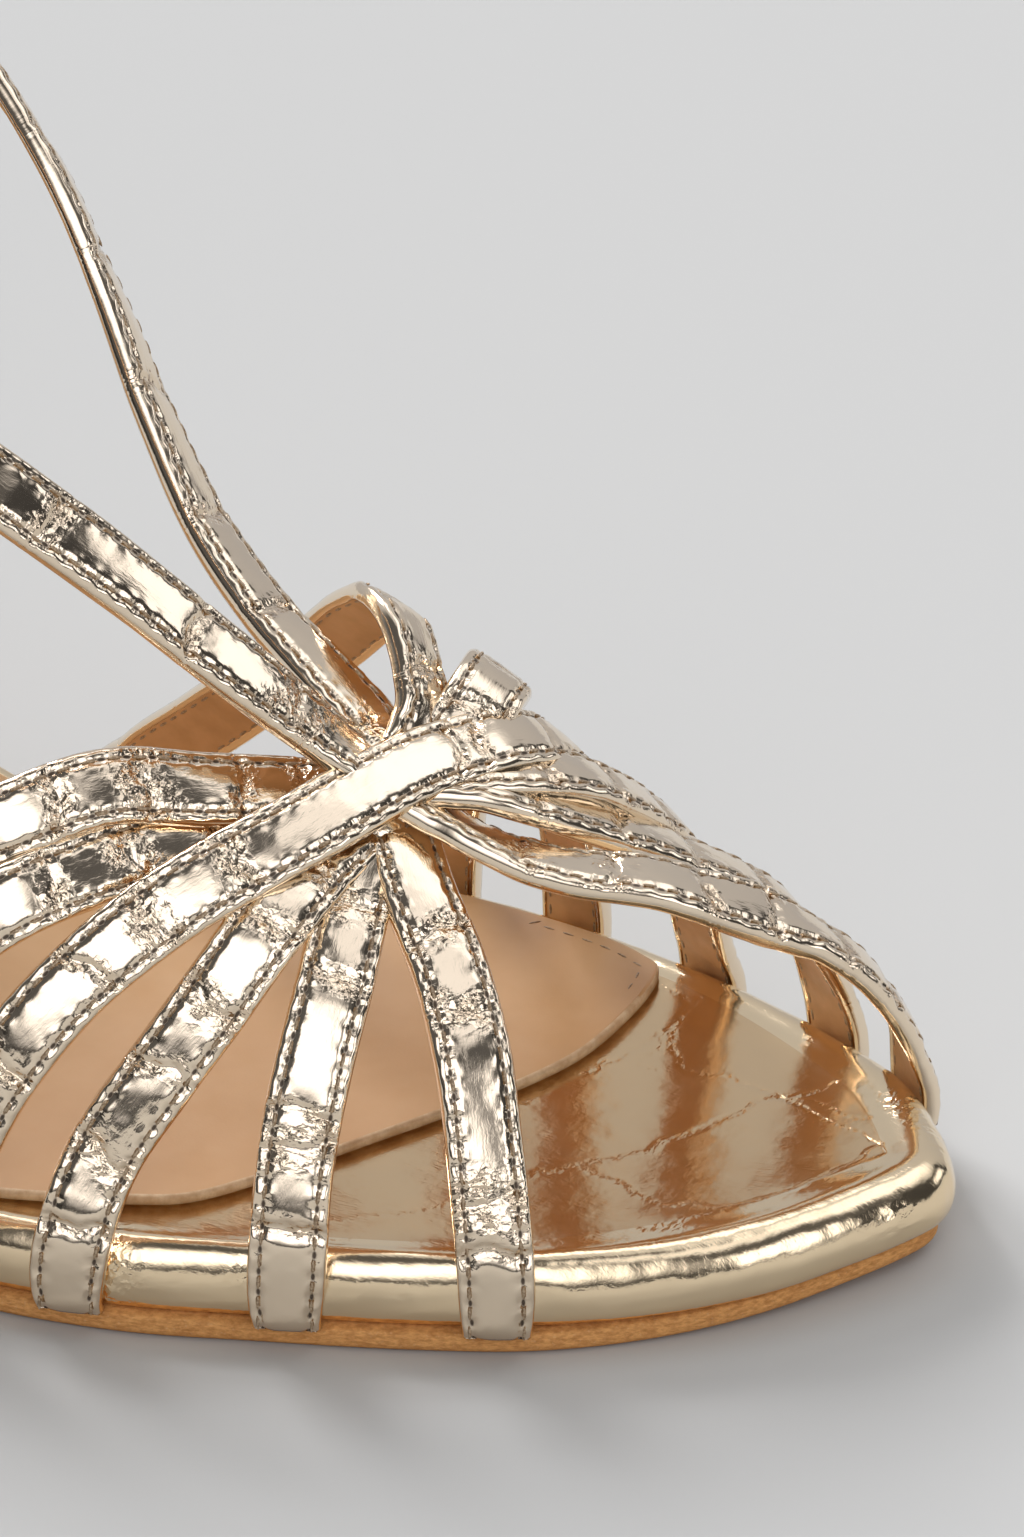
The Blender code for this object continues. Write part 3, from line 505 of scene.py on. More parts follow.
class NodePen:
    """Writes nodes and links in short steps."""

    def __init__(self, tree: bpy.types.NodeTree) -> None:
        """Start with the node tree of a material or of the world."""
        self.tree = tree

    def put(self, socket: bpy.types.NodeSocket, value: Socket) -> None:
        """Link a socket, or set its own value.

        Args:
            socket: An input.
            value: Another node's output, or a plain value.
        """
        if isinstance(value, bpy.types.NodeSocket):
            self.tree.links.new(value, socket)
        else:
            socket.default_value = value

    def add(self, kind: str, inputs: dict[Union[str, int], Socket], **settings: object) -> bpy.types.Node:
        """Add a node.

        Args:
            kind: The node's type without its ShaderNode prefix.
            inputs: Values or links for its inputs by name or number.
            settings: Properties of the node.

        Returns:
            The new node.
        """
        node = self.tree.nodes.new("ShaderNode" + kind)
        for key, value in settings.items():
            setattr(node, key, value)
        for key, value in inputs.items():
            self.put(node.inputs[key], value)
        return node

    def math(self, operation: str, *values: Socket) -> bpy.types.NodeSocket:
        """Return the result of a Math node."""
        return self.add("Math", dict(enumerate(values)), operation=operation).outputs[0]

    def ramp(
        self, value: Socket, low: float, high: float, start: float = 0.0, end: float = 1.0
    ) -> bpy.types.NodeSocket:
        """Return a value eased from one range to another.

        Args:
            value: The value to change.
            low: Where its range begins.
            high: Where its range ends.
            start: The result at low and below.
            end: The result at high and above.

        Returns:
            The result's socket.
        """
        node = self.add(
            "MapRange",
            {"Value": value, "From Min": low, "From Max": high, "To Min": start, "To Max": end},
            interpolation_type="SMOOTHSTEP",
        )
        return node.outputs["Result"]

    def blend(self, share: Socket, first: Socket, second: Socket) -> bpy.types.NodeSocket:
        """Return a colour between two colours, by the Mix node's colour sockets."""
        return self.add("Mix", {0: share, 6: first, 7: second}, data_type="RGBA").outputs[2]

    def place(self, coords: Coords) -> bpy.types.NodeSocket:
        """Return the pattern's coordinates.

        Args:
            coords: Where they come from.

        Returns:
            Their socket, in millimetres.
        """
        spot = self.add("TexCoord", {}).outputs[coords.value]
        scale = 1.0 if coords is Coords.SURFACE else 1.0 / MM
        return self.add("VectorMath", {0: spot, "Scale": scale}, operation="SCALE").outputs[0]

    def noise(
        self, spot: Socket, size: float, detail: float = 2.0, rough: float = 0.5
    ) -> bpy.types.NodeSocket:
        """Return noise whose grains are about size millimetres wide."""
        inputs = {"Vector": spot, "Scale": 1.0 / size, "Detail": detail, "Roughness": rough}
        return self.add("TexNoise", inputs).outputs["Fac"]

    def cells(self, spot: Socket, size: float) -> bpy.types.NodeSocket:
        """Return the distance to the middle of cells about size millimetres wide."""
        return self.add("TexVoronoi", {"Vector": spot, "Scale": 1.0 / size}).outputs["Distance"]

    def drawn(self, spot: Socket, scale: tuple) -> bpy.types.NodeSocket:
        """Return coordinates that draw a pattern out by the inverse of scale."""
        return self.add("Mapping", {"Vector": spot, "Scale": scale}).outputs[0]

    def mark(self, label: str) -> bpy.types.NodeSocket:
        """Return a value that the mesh carries."""
        return self.add("Attribute", {}, attribute_name=label).outputs["Fac"]

    def bump(
        self, height: Socket, deep: float, strength: Socket,
        below: Optional[bpy.types.NodeSocket] = None,
    ) -> bpy.types.NodeSocket:
        """Return a normal raised by a height map.

        Args:
            height: The height from 0 to 1.
            deep: Its full height in millimetres.
            strength: How much of it shows.
            below: A normal that it is laid over.

        Returns:
            The new normal.
        """
        inputs: dict[str, Socket] = {"Height": height, "Distance": deep * MM, "Strength": strength}
        if below is not None:
            inputs["Normal"] = below
        return self.add("Bump", inputs).outputs["Normal"]


class FinishPen(NodePen):
    """Writes one material."""

    def __init__(self, name: str) -> None:
        """Start a material.

        Args:
            name: The material's name.
        """
        self.material = bpy.data.materials.new(name)
        self.material.use_nodes = True
        super().__init__(self.material.node_tree)

    def finish(self, inputs: dict[str, Socket]) -> bpy.types.Material:
        """Set the shader's inputs.

        Args:
            inputs: Values or links by the names of its sockets.

        Returns:
            The finished material.
        """
        shader = self.tree.nodes["Principled BSDF"]
        for key, value in inputs.items():
            self.put(shader.inputs[key], value)
        return self.material


@dataclass(frozen=True)
class FoilLeather:
    """Gold foil leather with smooth cells and crumpled zones.

    The tones are pale on smooth leather, deep where it is crumpled and hole in a needle hole. The deep
    tone is partly a random change of tone and partly painted shade in the creases of the crumpled zones,
    and the hole tone is painted shade inside each needle hole. Sizes and depths of the layers of relief
    are in millimetres.
    """

    name: str
    coords: Coords
    pale: tuple = (0.87, 0.73, 0.56, 1.0)
    deep: tuple = (0.77, 0.61, 0.44, 1.0)
    hole: tuple = (0.06, 0.04, 0.03, 1.0)
    gloss: float = 0.11
    cloud_size: float = 5.0
    cloud_share: float = 0.35
    wander_scale: float = 1.1
    wander_reach: float = 0.7
    swell_size: float = 3.6
    swell_deep: float = 0.10
    streak_size: float = 0.6
    streak_deep: float = 0.016
    streak_draw: tuple = (0.35, 2.2, 1.0)
    fold_size: float = 0.8
    fold_deep: float = 0.36
    fold_draw: tuple = (1.0, 0.65, 1.0)
    grain_finer: float = 2.4
    grain_deep: float = 0.06
    sewn: bool = False
    hole_radius: float = 0.12
    hole_fade: float = 0.30

    def make(self) -> bpy.types.Material:
        """Write the foil's nodes.

        Returns:
            The foil as a material.
        """
        pen = FinishPen(self.name)
        spot = pen.place(self.coords)
        zone = pen.mark("crinkle")
        cloud = pen.noise(spot, self.cloud_size)
        # Random clouds and the crumpled zones blend the colour towards the deep tone: a random change of
        # tone, and painted shade in the creases
        tint = pen.ramp(pen.math("MULTIPLY_ADD", cloud, self.cloud_share, zone), low=0.25, high=1.3)
        colour = pen.blend(tint, self.pale, self.deep)
        rough = pen.ramp(cloud, low=0.35, high=0.75, start=self.gloss - 0.01, end=self.gloss + 0.03)
        if self.sewn:
            # Each needle hole is painted near black, which is painted shade inside the hole; the hole is
            # also rougher
            hole_shade = self.hole_shade_mask(pen, spot)
            colour = pen.blend(hole_shade, colour, self.hole)
            rough = pen.math("MULTIPLY_ADD", hole_shade, 0.6, rough)
        normal = self.relief(pen, spot, zone)
        return pen.finish({"Base Color": colour, "Metallic": 1.0, "Roughness": rough, "Normal": normal})

    def relief(
        self, pen: NodePen, spot: bpy.types.NodeSocket, zone: bpy.types.NodeSocket
    ) -> bpy.types.NodeSocket:
        """Lay swells, brushed streaks, folds and a fine grain over one another.

        Args:
            pen: The material's pen.
            spot: The pattern's coordinates.
            zone: How crumpled the leather is.

        Returns:
            The normal of the finished relief.
        """
        wander = pen.add("TexNoise", {"Vector": spot, "Scale": self.wander_scale, "Detail": 2.0})
        bend = {0: wander.outputs["Color"], 1: (self.wander_reach,) * 3, 2: spot}
        bent = pen.add("VectorMath", bend, operation="MULTIPLY_ADD").outputs[0]
        folded = pen.drawn(bent, self.fold_draw)
        brushed = pen.drawn(bent, self.streak_draw)
        swell = pen.bump(pen.noise(spot, self.swell_size, detail=1.5), self.swell_deep, strength=1.0)
        streaks = pen.bump(pen.noise(brushed, self.streak_size), self.streak_deep, strength=1.0, below=swell)
        folds = pen.bump(pen.cells(folded, self.fold_size), self.fold_deep, zone, streaks)
        grain = pen.cells(folded, self.fold_size / self.grain_finer)
        return pen.bump(grain, self.grain_deep, pen.math("MULTIPLY_ADD", zone, 0.9, 0.02), folds)

    def hole_shade_mask(self, pen: NodePen, spot: bpy.types.NodeSocket) -> bpy.types.NodeSocket:
        """Return a mask of the needle holes along both stitch rows, where shade is painted into the colour.

        Args:
            pen: The material's pen.
            spot: The pattern's coordinates, along the strap and across it.

        Returns:
            A value that is high in a hole and 0 elsewhere.
        """
        axes = pen.add("SeparateXYZ", {"Vector": spot})
        turn = pen.math("FRACT", pen.math("ADD", pen.math("DIVIDE", axes.outputs[0], STITCH_PITCH), 0.5))
        along = pen.math("MULTIPLY", pen.math("SUBTRACT", turn, 0.5), STITCH_PITCH * 0.5)
        across = pen.math("SUBTRACT", pen.math("ABSOLUTE", axes.outputs[1]), STITCH_ROW)
        square = pen.math("MULTIPLY_ADD", along, along, pen.math("MULTIPLY", across, across))
        reach = pen.math("SQRT", square)
        return pen.ramp(reach, self.hole_radius, self.hole_fade, start=0.9, end=0.0)


@dataclass(frozen=True)
class PlainLeather:
    """Matt leather with a fine grain."""

    name: str
    coords: Coords
    light: tuple
    dark: tuple
    rough: float
    grain: float = 0.45
    grain_deep: float = 0.02
    cloud: float = 9.0
    coat: float = 0.0

    def make(self) -> bpy.types.Material:
        """Write the leather's nodes.

        Returns:
            The leather as a material.
        """
        pen = FinishPen(self.name)
        spot = pen.place(self.coords)
        patches = pen.ramp(pen.noise(spot, self.cloud, detail=4.0, rough=0.6), low=0.3, high=0.7)
        colour = pen.blend(patches, self.light, self.dark)
        body = pen.bump(pen.noise(spot, size=6.0), deep=0.08, strength=0.6)
        skin = pen.bump(pen.cells(spot, self.grain), self.grain_deep, strength=0.8, below=body)
        wear = pen.noise(spot, size=3.0, detail=3.0)
        rough = pen.ramp(wear, low=0.3, high=0.7, start=self.rough - 0.06, end=self.rough + 0.06)
        return pen.finish({
            "Base Color": colour, "Roughness": rough, "Normal": skin,
            "Coat Weight": self.coat, "Coat Roughness": 0.3,
        })


@dataclass(frozen=True)
class FibreEdge:
    """Cut sole leather, with fibres that run along the edge."""

    name: str
    light: tuple = (0.84, 0.43, 0.15, 1.0)
    dark: tuple = (0.48, 0.20, 0.06, 1.0)
    fleck: tuple = (0.80, 0.54, 0.30, 1.0)
    fibre_draw: tuple = (0.8, 0.8, 2.4)
    # How far above the floor the cut edge darkens, in millimetres
    low_darkening_height: float = 0.7

    def make(self) -> bpy.types.Material:
        """Write the cut leather's nodes.

        Returns:
            The cut leather as a material.
        """
        pen = FinishPen(self.name)
        spot = pen.place(Coords.BODY)
        streaks = pen.noise(pen.drawn(spot, self.fibre_draw), size=0.9, detail=5.0, rough=0.7)
        colour = pen.blend(pen.ramp(streaks, low=0.25, high=0.75), self.dark, self.light)
        grains = pen.noise(spot, size=0.4, detail=3.0, rough=0.6)
        colour = pen.blend(pen.ramp(grains, low=0.58, high=0.72, end=0.25), colour, self.fleck)
        height = pen.add("SeparateXYZ", {"Vector": spot}).outputs[2]
        # The cut edge is blended towards the dark tone over its lowest part: darker towards the floor
        low_darkening = pen.ramp(height, low=0.0, high=self.low_darkening_height, start=0.6, end=0.0)
        colour = pen.blend(low_darkening, colour, self.dark)
        fibre = pen.bump(streaks, deep=0.14, strength=0.9)
        nap = pen.bump(grains, deep=0.08, strength=0.9, below=fibre)
        return pen.finish({
            "Base Color": colour, "Roughness": 0.7, "Specular IOR Level": 0.12, "Normal": nap,
        })


@dataclass(frozen=True)
class Thread:
    """Waxed sewing thread with a twist."""

    name: str
    colour: tuple = (0.55, 0.42, 0.28, 1.0)
    shade: tuple = (0.28, 0.19, 0.11, 1.0)

    def make(self) -> bpy.types.Material:
        """Write the thread's nodes.

        Returns:
            The thread as a material.
        """
        pen = FinishPen(self.name)
        spot = pen.place(Coords.BODY)
        twist = pen.noise(spot, size=0.22)
        colour = pen.blend(pen.ramp(twist, low=0.35, high=0.7), self.shade, self.colour)
        normal = pen.bump(twist, deep=0.05, strength=0.8)
        return pen.finish({"Base Color": colour, "Roughness": 0.38, "Metallic": 0.35, "Normal": normal})


@dataclass(frozen=True)
class PolishedMetal:
    """Plated metal with fine hairlines."""

    name: str
    colour: tuple = (0.86, 0.72, 0.50, 1.0)

    def make(self) -> bpy.types.Material:
        """Write the metal's nodes.

        Returns:
            The metal as a material.
        """
        pen = FinishPen(self.name)
        spot = pen.place(Coords.BODY)
        lines = pen.noise(spot, size=0.5, detail=4.0)
        rough = pen.ramp(lines, low=0.3, high=0.7, start=0.10, end=0.22)
        normal = pen.bump(lines, deep=0.01, strength=0.5)
        return pen.finish({
            "Base Color": self.colour, "Metallic": 1.0, "Roughness": rough, "Normal": normal,
        })


@dataclass(frozen=True)
class Rubber:
    """Matt moulded rubber."""

    name: str
    colour: tuple = (0.035, 0.030, 0.028, 1.0)
    worn: tuple = (0.10, 0.085, 0.075, 1.0)

    def make(self) -> bpy.types.Material:
        """Write the rubber's nodes.

        Returns:
            The rubber as a material.
        """
        pen = FinishPen(self.name)
        spot = pen.place(Coords.BODY)
        dust = pen.noise(spot, size=1.4, detail=5.0, rough=0.7)
        colour = pen.blend(pen.ramp(dust, low=0.45, high=0.8), self.colour, self.worn)
        normal = pen.bump(dust, deep=0.05, strength=0.6)
        return pen.finish({"Base Color": colour, "Roughness": 0.7, "Normal": normal})


class Wardrobe:
    """All finishes of the shoe, made once."""

    def __init__(self) -> None:
        """Make every material."""
        self.strap = FoilLeather("strap_foil", Coords.SURFACE, sewn=True).make()
        # The footbed's top is a darker, browner tone of the same foil that wraps the bead: painted shade and
        # a painted reflection of the straps' brown linings
        self.foil = FoilLeather(
            "footbed_foil_painted_shade", Coords.BODY, (0.78, 0.57, 0.34, 1.0), (0.70, 0.49, 0.28, 1.0), gloss=0.17
        ).make()
        self.bead = FoilLeather(
            "bead_foil", Coords.BODY, (0.91, 0.73, 0.49, 1.0), (0.82, 0.63, 0.40, 1.0), gloss=0.13
        ).make()
        self.cover = FoilLeather("cover_foil", Coords.BODY, gloss=0.14).make()
        self.lining = PlainLeather(
            "lining_leather", Coords.SURFACE, (0.70, 0.41, 0.19, 1.0), (0.54, 0.30, 0.125, 1.0),
            rough=0.55, grain=0.4,
        ).make()
        self.sock = PlainLeather(
            "sock_leather", Coords.BODY, (0.60, 0.37, 0.18, 1.0), (0.55, 0.32, 0.14, 1.0),
            rough=0.46, grain=0.35, grain_deep=0.008, cloud=22.0, coat=0.10,
        ).make()
        self.cut = PlainLeather(
            "cut_edge", Coords.BODY, (0.72, 0.55, 0.34, 1.0), (0.52, 0.34, 0.18, 1.0),
            rough=0.6, grain=0.3, grain_deep=0.03, cloud=2.0,
        ).make()
        self.sole = FibreEdge("sole_edge").make()
        self.thread = Thread("stitch_thread").make()
        self.metal = PolishedMetal("buckle_gilt").make()
        self.rubber = Rubber("lift_rubber").make()


class Stitch(NamedTuple):
    """A stitch's half length and half thickness in millimetres."""

    half: float
    thick: float


FACE_STITCH = Stitch(0.78, 0.19)
LINING_STITCH = Stitch(0.78, 0.17)
CUP_STITCH = Stitch(0.8, 0.2)
SOCK_STITCH = Stitch(0.7, 0.14)


class Stitches:
    """All sewing of the shoe, gathered into one mesh of short round stitches."""

    FLATNESS = 0.8
    SEGMENTS_ROUND = 6
    SEGMENTS_ALONG = 5

    def __init__(self) -> None:
        """Start with nothing sewn."""
        self.spots: list[np.ndarray] = []
        self.turns: list[np.ndarray] = []

    def sew(self, places: np.ndarray, along: np.ndarray, out: np.ndarray, stitch: Stitch) -> None:
        """Add a run of stitches.

        Args:
            places: The stitches' middles on the shoe.
            along: Their directions.
            out: The surface's directions there.
            stitch: The size of each.
        """
        up = unit(out - np.sum(out * along, axis=1)[:, None] * along)
        side = np.cross(along, up) * stitch.thick
        self.spots.append(places)
        self.turns.append(np.stack([side, up * stitch.thick * self.FLATNESS, along * stitch.half], axis=1))

    def make(self, material: bpy.types.Material) -> bpy.types.Object:
        """Return all stitches as one piece, copies of one short round stitch.

        Args:
            material: The thread.

        Returns:
            The new object, linked to the scene.
        """
        pattern = bmesh.new()
        bmesh.ops.create_uvsphere(
            pattern, u_segments=self.SEGMENTS_ROUND, v_segments=self.SEGMENTS_ALONG, radius=1.0
        )
        pattern.verts.index_update()
        shape = np.array([vert.co for vert in pattern.verts])
        ways = [[vert.index for vert in face.verts] for face in pattern.faces]
        pattern.free()
        spots, turns = np.concatenate(self.spots), np.concatenate(self.turns)
        places = to_frame(spots[:, None, :] + np.einsum("vk,nkc->nvc", shape, turns))
        faces = [[k + number * len(shape) for k in way] for number in range(len(spots)) for way in ways]
        mesh = bpy.data.meshes.new("stitches")
        mesh.from_pydata(places.reshape(-1, 3), [], faces)
        closed = bmesh.new()
        closed.from_mesh(mesh)
        bmesh.ops.recalc_face_normals(closed, faces=closed.faces)
        closed.to_mesh(mesh)
        closed.free()
        mesh.materials.append(material)
        mesh.shade_smooth()
        return link(bpy.data.objects.new("stitches", mesh))


@dataclass
class Counter:
    """The thin cup round the back of the heel."""

    wall: float = 1.6
    inset: float = 2.6
    front: float = 168.0
    middle: float = 178.0
    back_height: float = 58.0
    front_height: float = 6.0
    hollow: float = 4.0
    lean: float = 10.0
    narrowing: float = 0.06
    seam_drop: float = 2.2
    columns: int = 121
    rows: int = 41

    def point(self, turn: np.ndarray, height: np.ndarray) -> np.ndarray:
        """Return places of the cup's middle surface.

        Args:
            turn: Round the heel, -1 at the outer front, 0 at the back, 1 at the inner front.
            height: Millimetres above the footbed.

        Returns:
            Station, across and height of each place.
        """
        swing = np.cos(np.abs(turn) * np.pi / 2)
        side = np.where(turn >= 0, 1.0, -1.0)
        station = self.front + (SHOE_LENGTH - self.inset - self.front) * swing
        edge = SOLE.edge(self.front + (SHOE_LENGTH - self.front) * swing, side)
        across = edge - self.inset * side * np.sin(np.abs(turn) * np.pi / 2)
        rise = height / self.back_height
        lean = self.hollow * np.sin(np.pi * np.minimum(rise, 1.0) * 0.8) - self.lean * rise**2
        station = station + lean * swing * 0.8
        across = across * (1 - self.narrowing * rise)
        base = FOOTBED_TOP(np.minimum(station, SHOE_LENGTH)) + 2 * FIT_GAP
        return np.stack([station, across, base + height], axis=-1)

    def top(self, turn: np.ndarray) -> np.ndarray:
        """Return the height of the cup's upper edge."""
        share = np.cos(np.minimum(np.abs(turn), 1.0) * np.pi / 2) ** 2
        return self.front_height + (self.back_height - self.front_height) * share

    def below_top(self, turn: np.ndarray, drop: float) -> np.ndarray:
        """Return places a drop below the cup's upper edge."""
        return self.point(turn, self.top(turn) - drop)

    def build(self, looks: Wardrobe, stitches: Stitches) -> bpy.types.Object:
        """Make the cup with its lining and sew its upper edge.

        Args:
            looks: The finishes.
            stitches: The sewing, which gains the cup's row.

        Returns:
            The cup.
        """
        turn, up = np.meshgrid(np.linspace(-1, 1, self.columns), np.linspace(0, 1, self.rows))
        places = self.point(turn, self.top(turn) * up)
        uv = np.stack([turn * 60.0, up * self.top(turn) + 10.0], axis=-1)
        zone = 0.03 + 0.45 * np.exp(-(((1 - up) * self.top(turn) - self.seam_drop) ** 2))
        zone += 1.2 * np.clip(ripple(uv, size=11.0, seed=12.0) - 0.1, 0.0, 0.45)
        cup = Skin(places, uv, {"crinkle": zone}).make("heel_counter_cup", [looks.cover, looks.lining])
        rear = min(cup.data.polygons, key=lambda side: side.center.x)
        if rear.normal.x > 0:
            cup.data.flip_normals()
        wall = cup.modifiers.new("wall", "SOLIDIFY")
        wall.thickness = self.wall * MM
        wall.offset = 0.0
        wall.use_even_offset = True
        wall.material_offset = 1
        wall.material_offset_rim = 0
        self.sew(stitches)
        return settle(cup, ["heel_counter"])

    def sew(self, stitches: Stitches) -> None:
        """Sew a row just under the cup's upper edge, outside and inside.

        Args:
            stitches: The sewing, which gains the row.
        """
        turns = np.linspace(-0.93, 0.93, 1200)
        gone = lengths_along(self.below_top(turns, self.seam_drop))
        spots = np.interp(np.arange(0, gone[-1], STITCH_PITCH), gone, turns)
        row = self.below_top(spots, self.seam_drop)
        along = unit(self.below_top(spots + 0.004, self.seam_drop) - row)
        out = unit(np.cross(along, row - self.below_top(spots, self.seam_drop + 0.8)))
        from_middle = (row - (self.middle, 0.0, 0.0)) * (1, 1, 0)
        out *= np.sign(np.sum(out * from_middle, axis=1))[:, None]
        for face in (1.0, -1.0):
            stitches.sew(row + face * out * self.wall / 2, along, face * out, CUP_STITCH)


def edge_normal(station: np.ndarray, side: np.ndarray) -> np.ndarray:
    """Return the outward direction of the sole's outline, level with the floor.

    Args:
        station: Where along the shoe.
        side: Below 0 for the outer side, above 0 for the inner side.

    Returns:
        One direction of length one for each station.
    """
    turn = SOLE.edge(station + 0.5, side) - SOLE.edge(station - 0.5, side)
    normal = np.stack([-turn, np.ones_like(turn), np.zeros_like(turn)], axis=-1)
    return unit(normal * np.asarray(side)[..., None])


class Ridge(NamedTuple):
    """A ridge along a sewn row: offset across, half width, height, and its change with each stitch."""

    at: float
    half: float
    high: float
    beat: float


SEWN_RIDGES = (
    Ridge(STITCH_ROW, 0.40, -0.17, -0.10), Ridge(3.35, 0.38, 0.11, -0.08), Ridge(2.05, 0.42, 0.04, -0.05),
)


@dataclass(frozen=True)
class FaceRelief:
    """The low relief of a strap's face. Sizes and depths are in millimetres."""

    crease_ahead: float = 0.48
    crease_behind: float = 0.42
    roll: float = 3.4
    roll_from: float = 0.25
    zone_margin: float = 0.25
    wave: float = 0.35
    wander: float = 0.6
    wander_size: float = 2.6
    puff: float = 0.03
    puff_length: float = 12.0
    patch_size: float = 2.4
    crinkle: float = 0.14
    smooth_crinkle: float = 0.012
    crinkle_size: float = 1.2
    swell: float = 0.07
    swell_size: float = 4.5
    seam_half: float = 0.62
    seam_zone: float = 0.55
    seam_patch_size: float = 5.0

    def relief(
        self, u: np.ndarray, v: np.ndarray, creases: Sequence[Sequence[float]], seed: float
    ) -> tuple[np.ndarray, np.ndarray]:
        """Return the face's height over the section, and how crumpled it is.

        Args:
            u: Lengths along the strap.
            v: Offsets across it.
            creases: The strap's cross creases.
            seed: A number that picks the pattern.

        Returns:
            Two arrays of the shape of u.
        """
        height, zone = self.creased(u, v, creases, seed)
        beat = np.cos(2 * np.pi * u / STITCH_PITCH)
        for ridge in SEWN_RIDGES:
            near = np.exp(-(((np.abs(v) - ridge.at) / ridge.half) ** 2))
            height += near * (ridge.high + ridge.beat * beat)
        spots = np.stack([u, v], axis=-1)
        zone *= np.clip(0.6 + 1.2 * ripple(spots, self.patch_size, seed + 7.0), 0.25, 1.0)
        height += (self.smooth_crinkle + self.crinkle * zone) * ripple(spots, self.crinkle_size, seed + 3.0)
        height += self.swell * ripple(spots, self.swell_size, seed + 9.0)
        seam = np.exp(-(((np.abs(v) - STITCH_ROW) / self.seam_half) ** 2))
        patchy = np.clip(0.55 + 0.9 * ripple(spots, self.seam_patch_size, seed + 5.0), 0.0, 1.0)
        return height, np.clip(np.maximum(zone, self.seam_zone * seam * patchy), 0.0, 1.0)

    def creased(
        self, u: np.ndarray, v: np.ndarray, creases: Sequence[Sequence[float]], seed: float
    ) -> tuple[np.ndarray, np.ndarray]:
        """Return the height of the creases and of the puffed cells between them, and the crumpled zones.

        Args:
            u: Lengths along the strap.
            v: Offsets across it.
            creases: The strap's cross creases.
            seed: A number that picks the pattern.

        Returns:
            Two arrays of the shape of u.
        """
        height = np.zeros_like(u)
        zone = np.zeros_like(u)
        gaps = []
        for number, crease in enumerate(sorted(Crease(*row) for row in creases)):
            row = np.stack([np.full_like(v, 9.0 * number), v], axis=-1)
            wave = self.wave * np.sin(v * 1.1 + number * 2.3 + seed)
            wave += self.wander * ripple(row, self.wander_size, seed)
            gap = u - crease.at - crease.lean * v - wave
            gaps.append(gap)
            rolled = self.crease_behind + self.roll * max(crease.deep - self.roll_from, 0.0)
            height -= crease.deep * np.exp(-((gap / np.where(gap < 0, rolled, self.crease_ahead)) ** 2))
            zone = np.maximum(zone, np.exp(-((gap / (crease.zone + self.zone_margin)) ** 4)))
        for before, after in zip(gaps, gaps[1:]):
            length = before - after
            t = np.clip(before / np.maximum(length, 0.5), 0.0, 1.0)
            puff = self.puff * np.minimum(length, self.puff_length) * (1 - np.abs(2 * t - 1) ** 4)
            height += puff * (1 - (np.abs(v) / (STRAP_WIDTH / 2)) ** 4)
        return height, zone


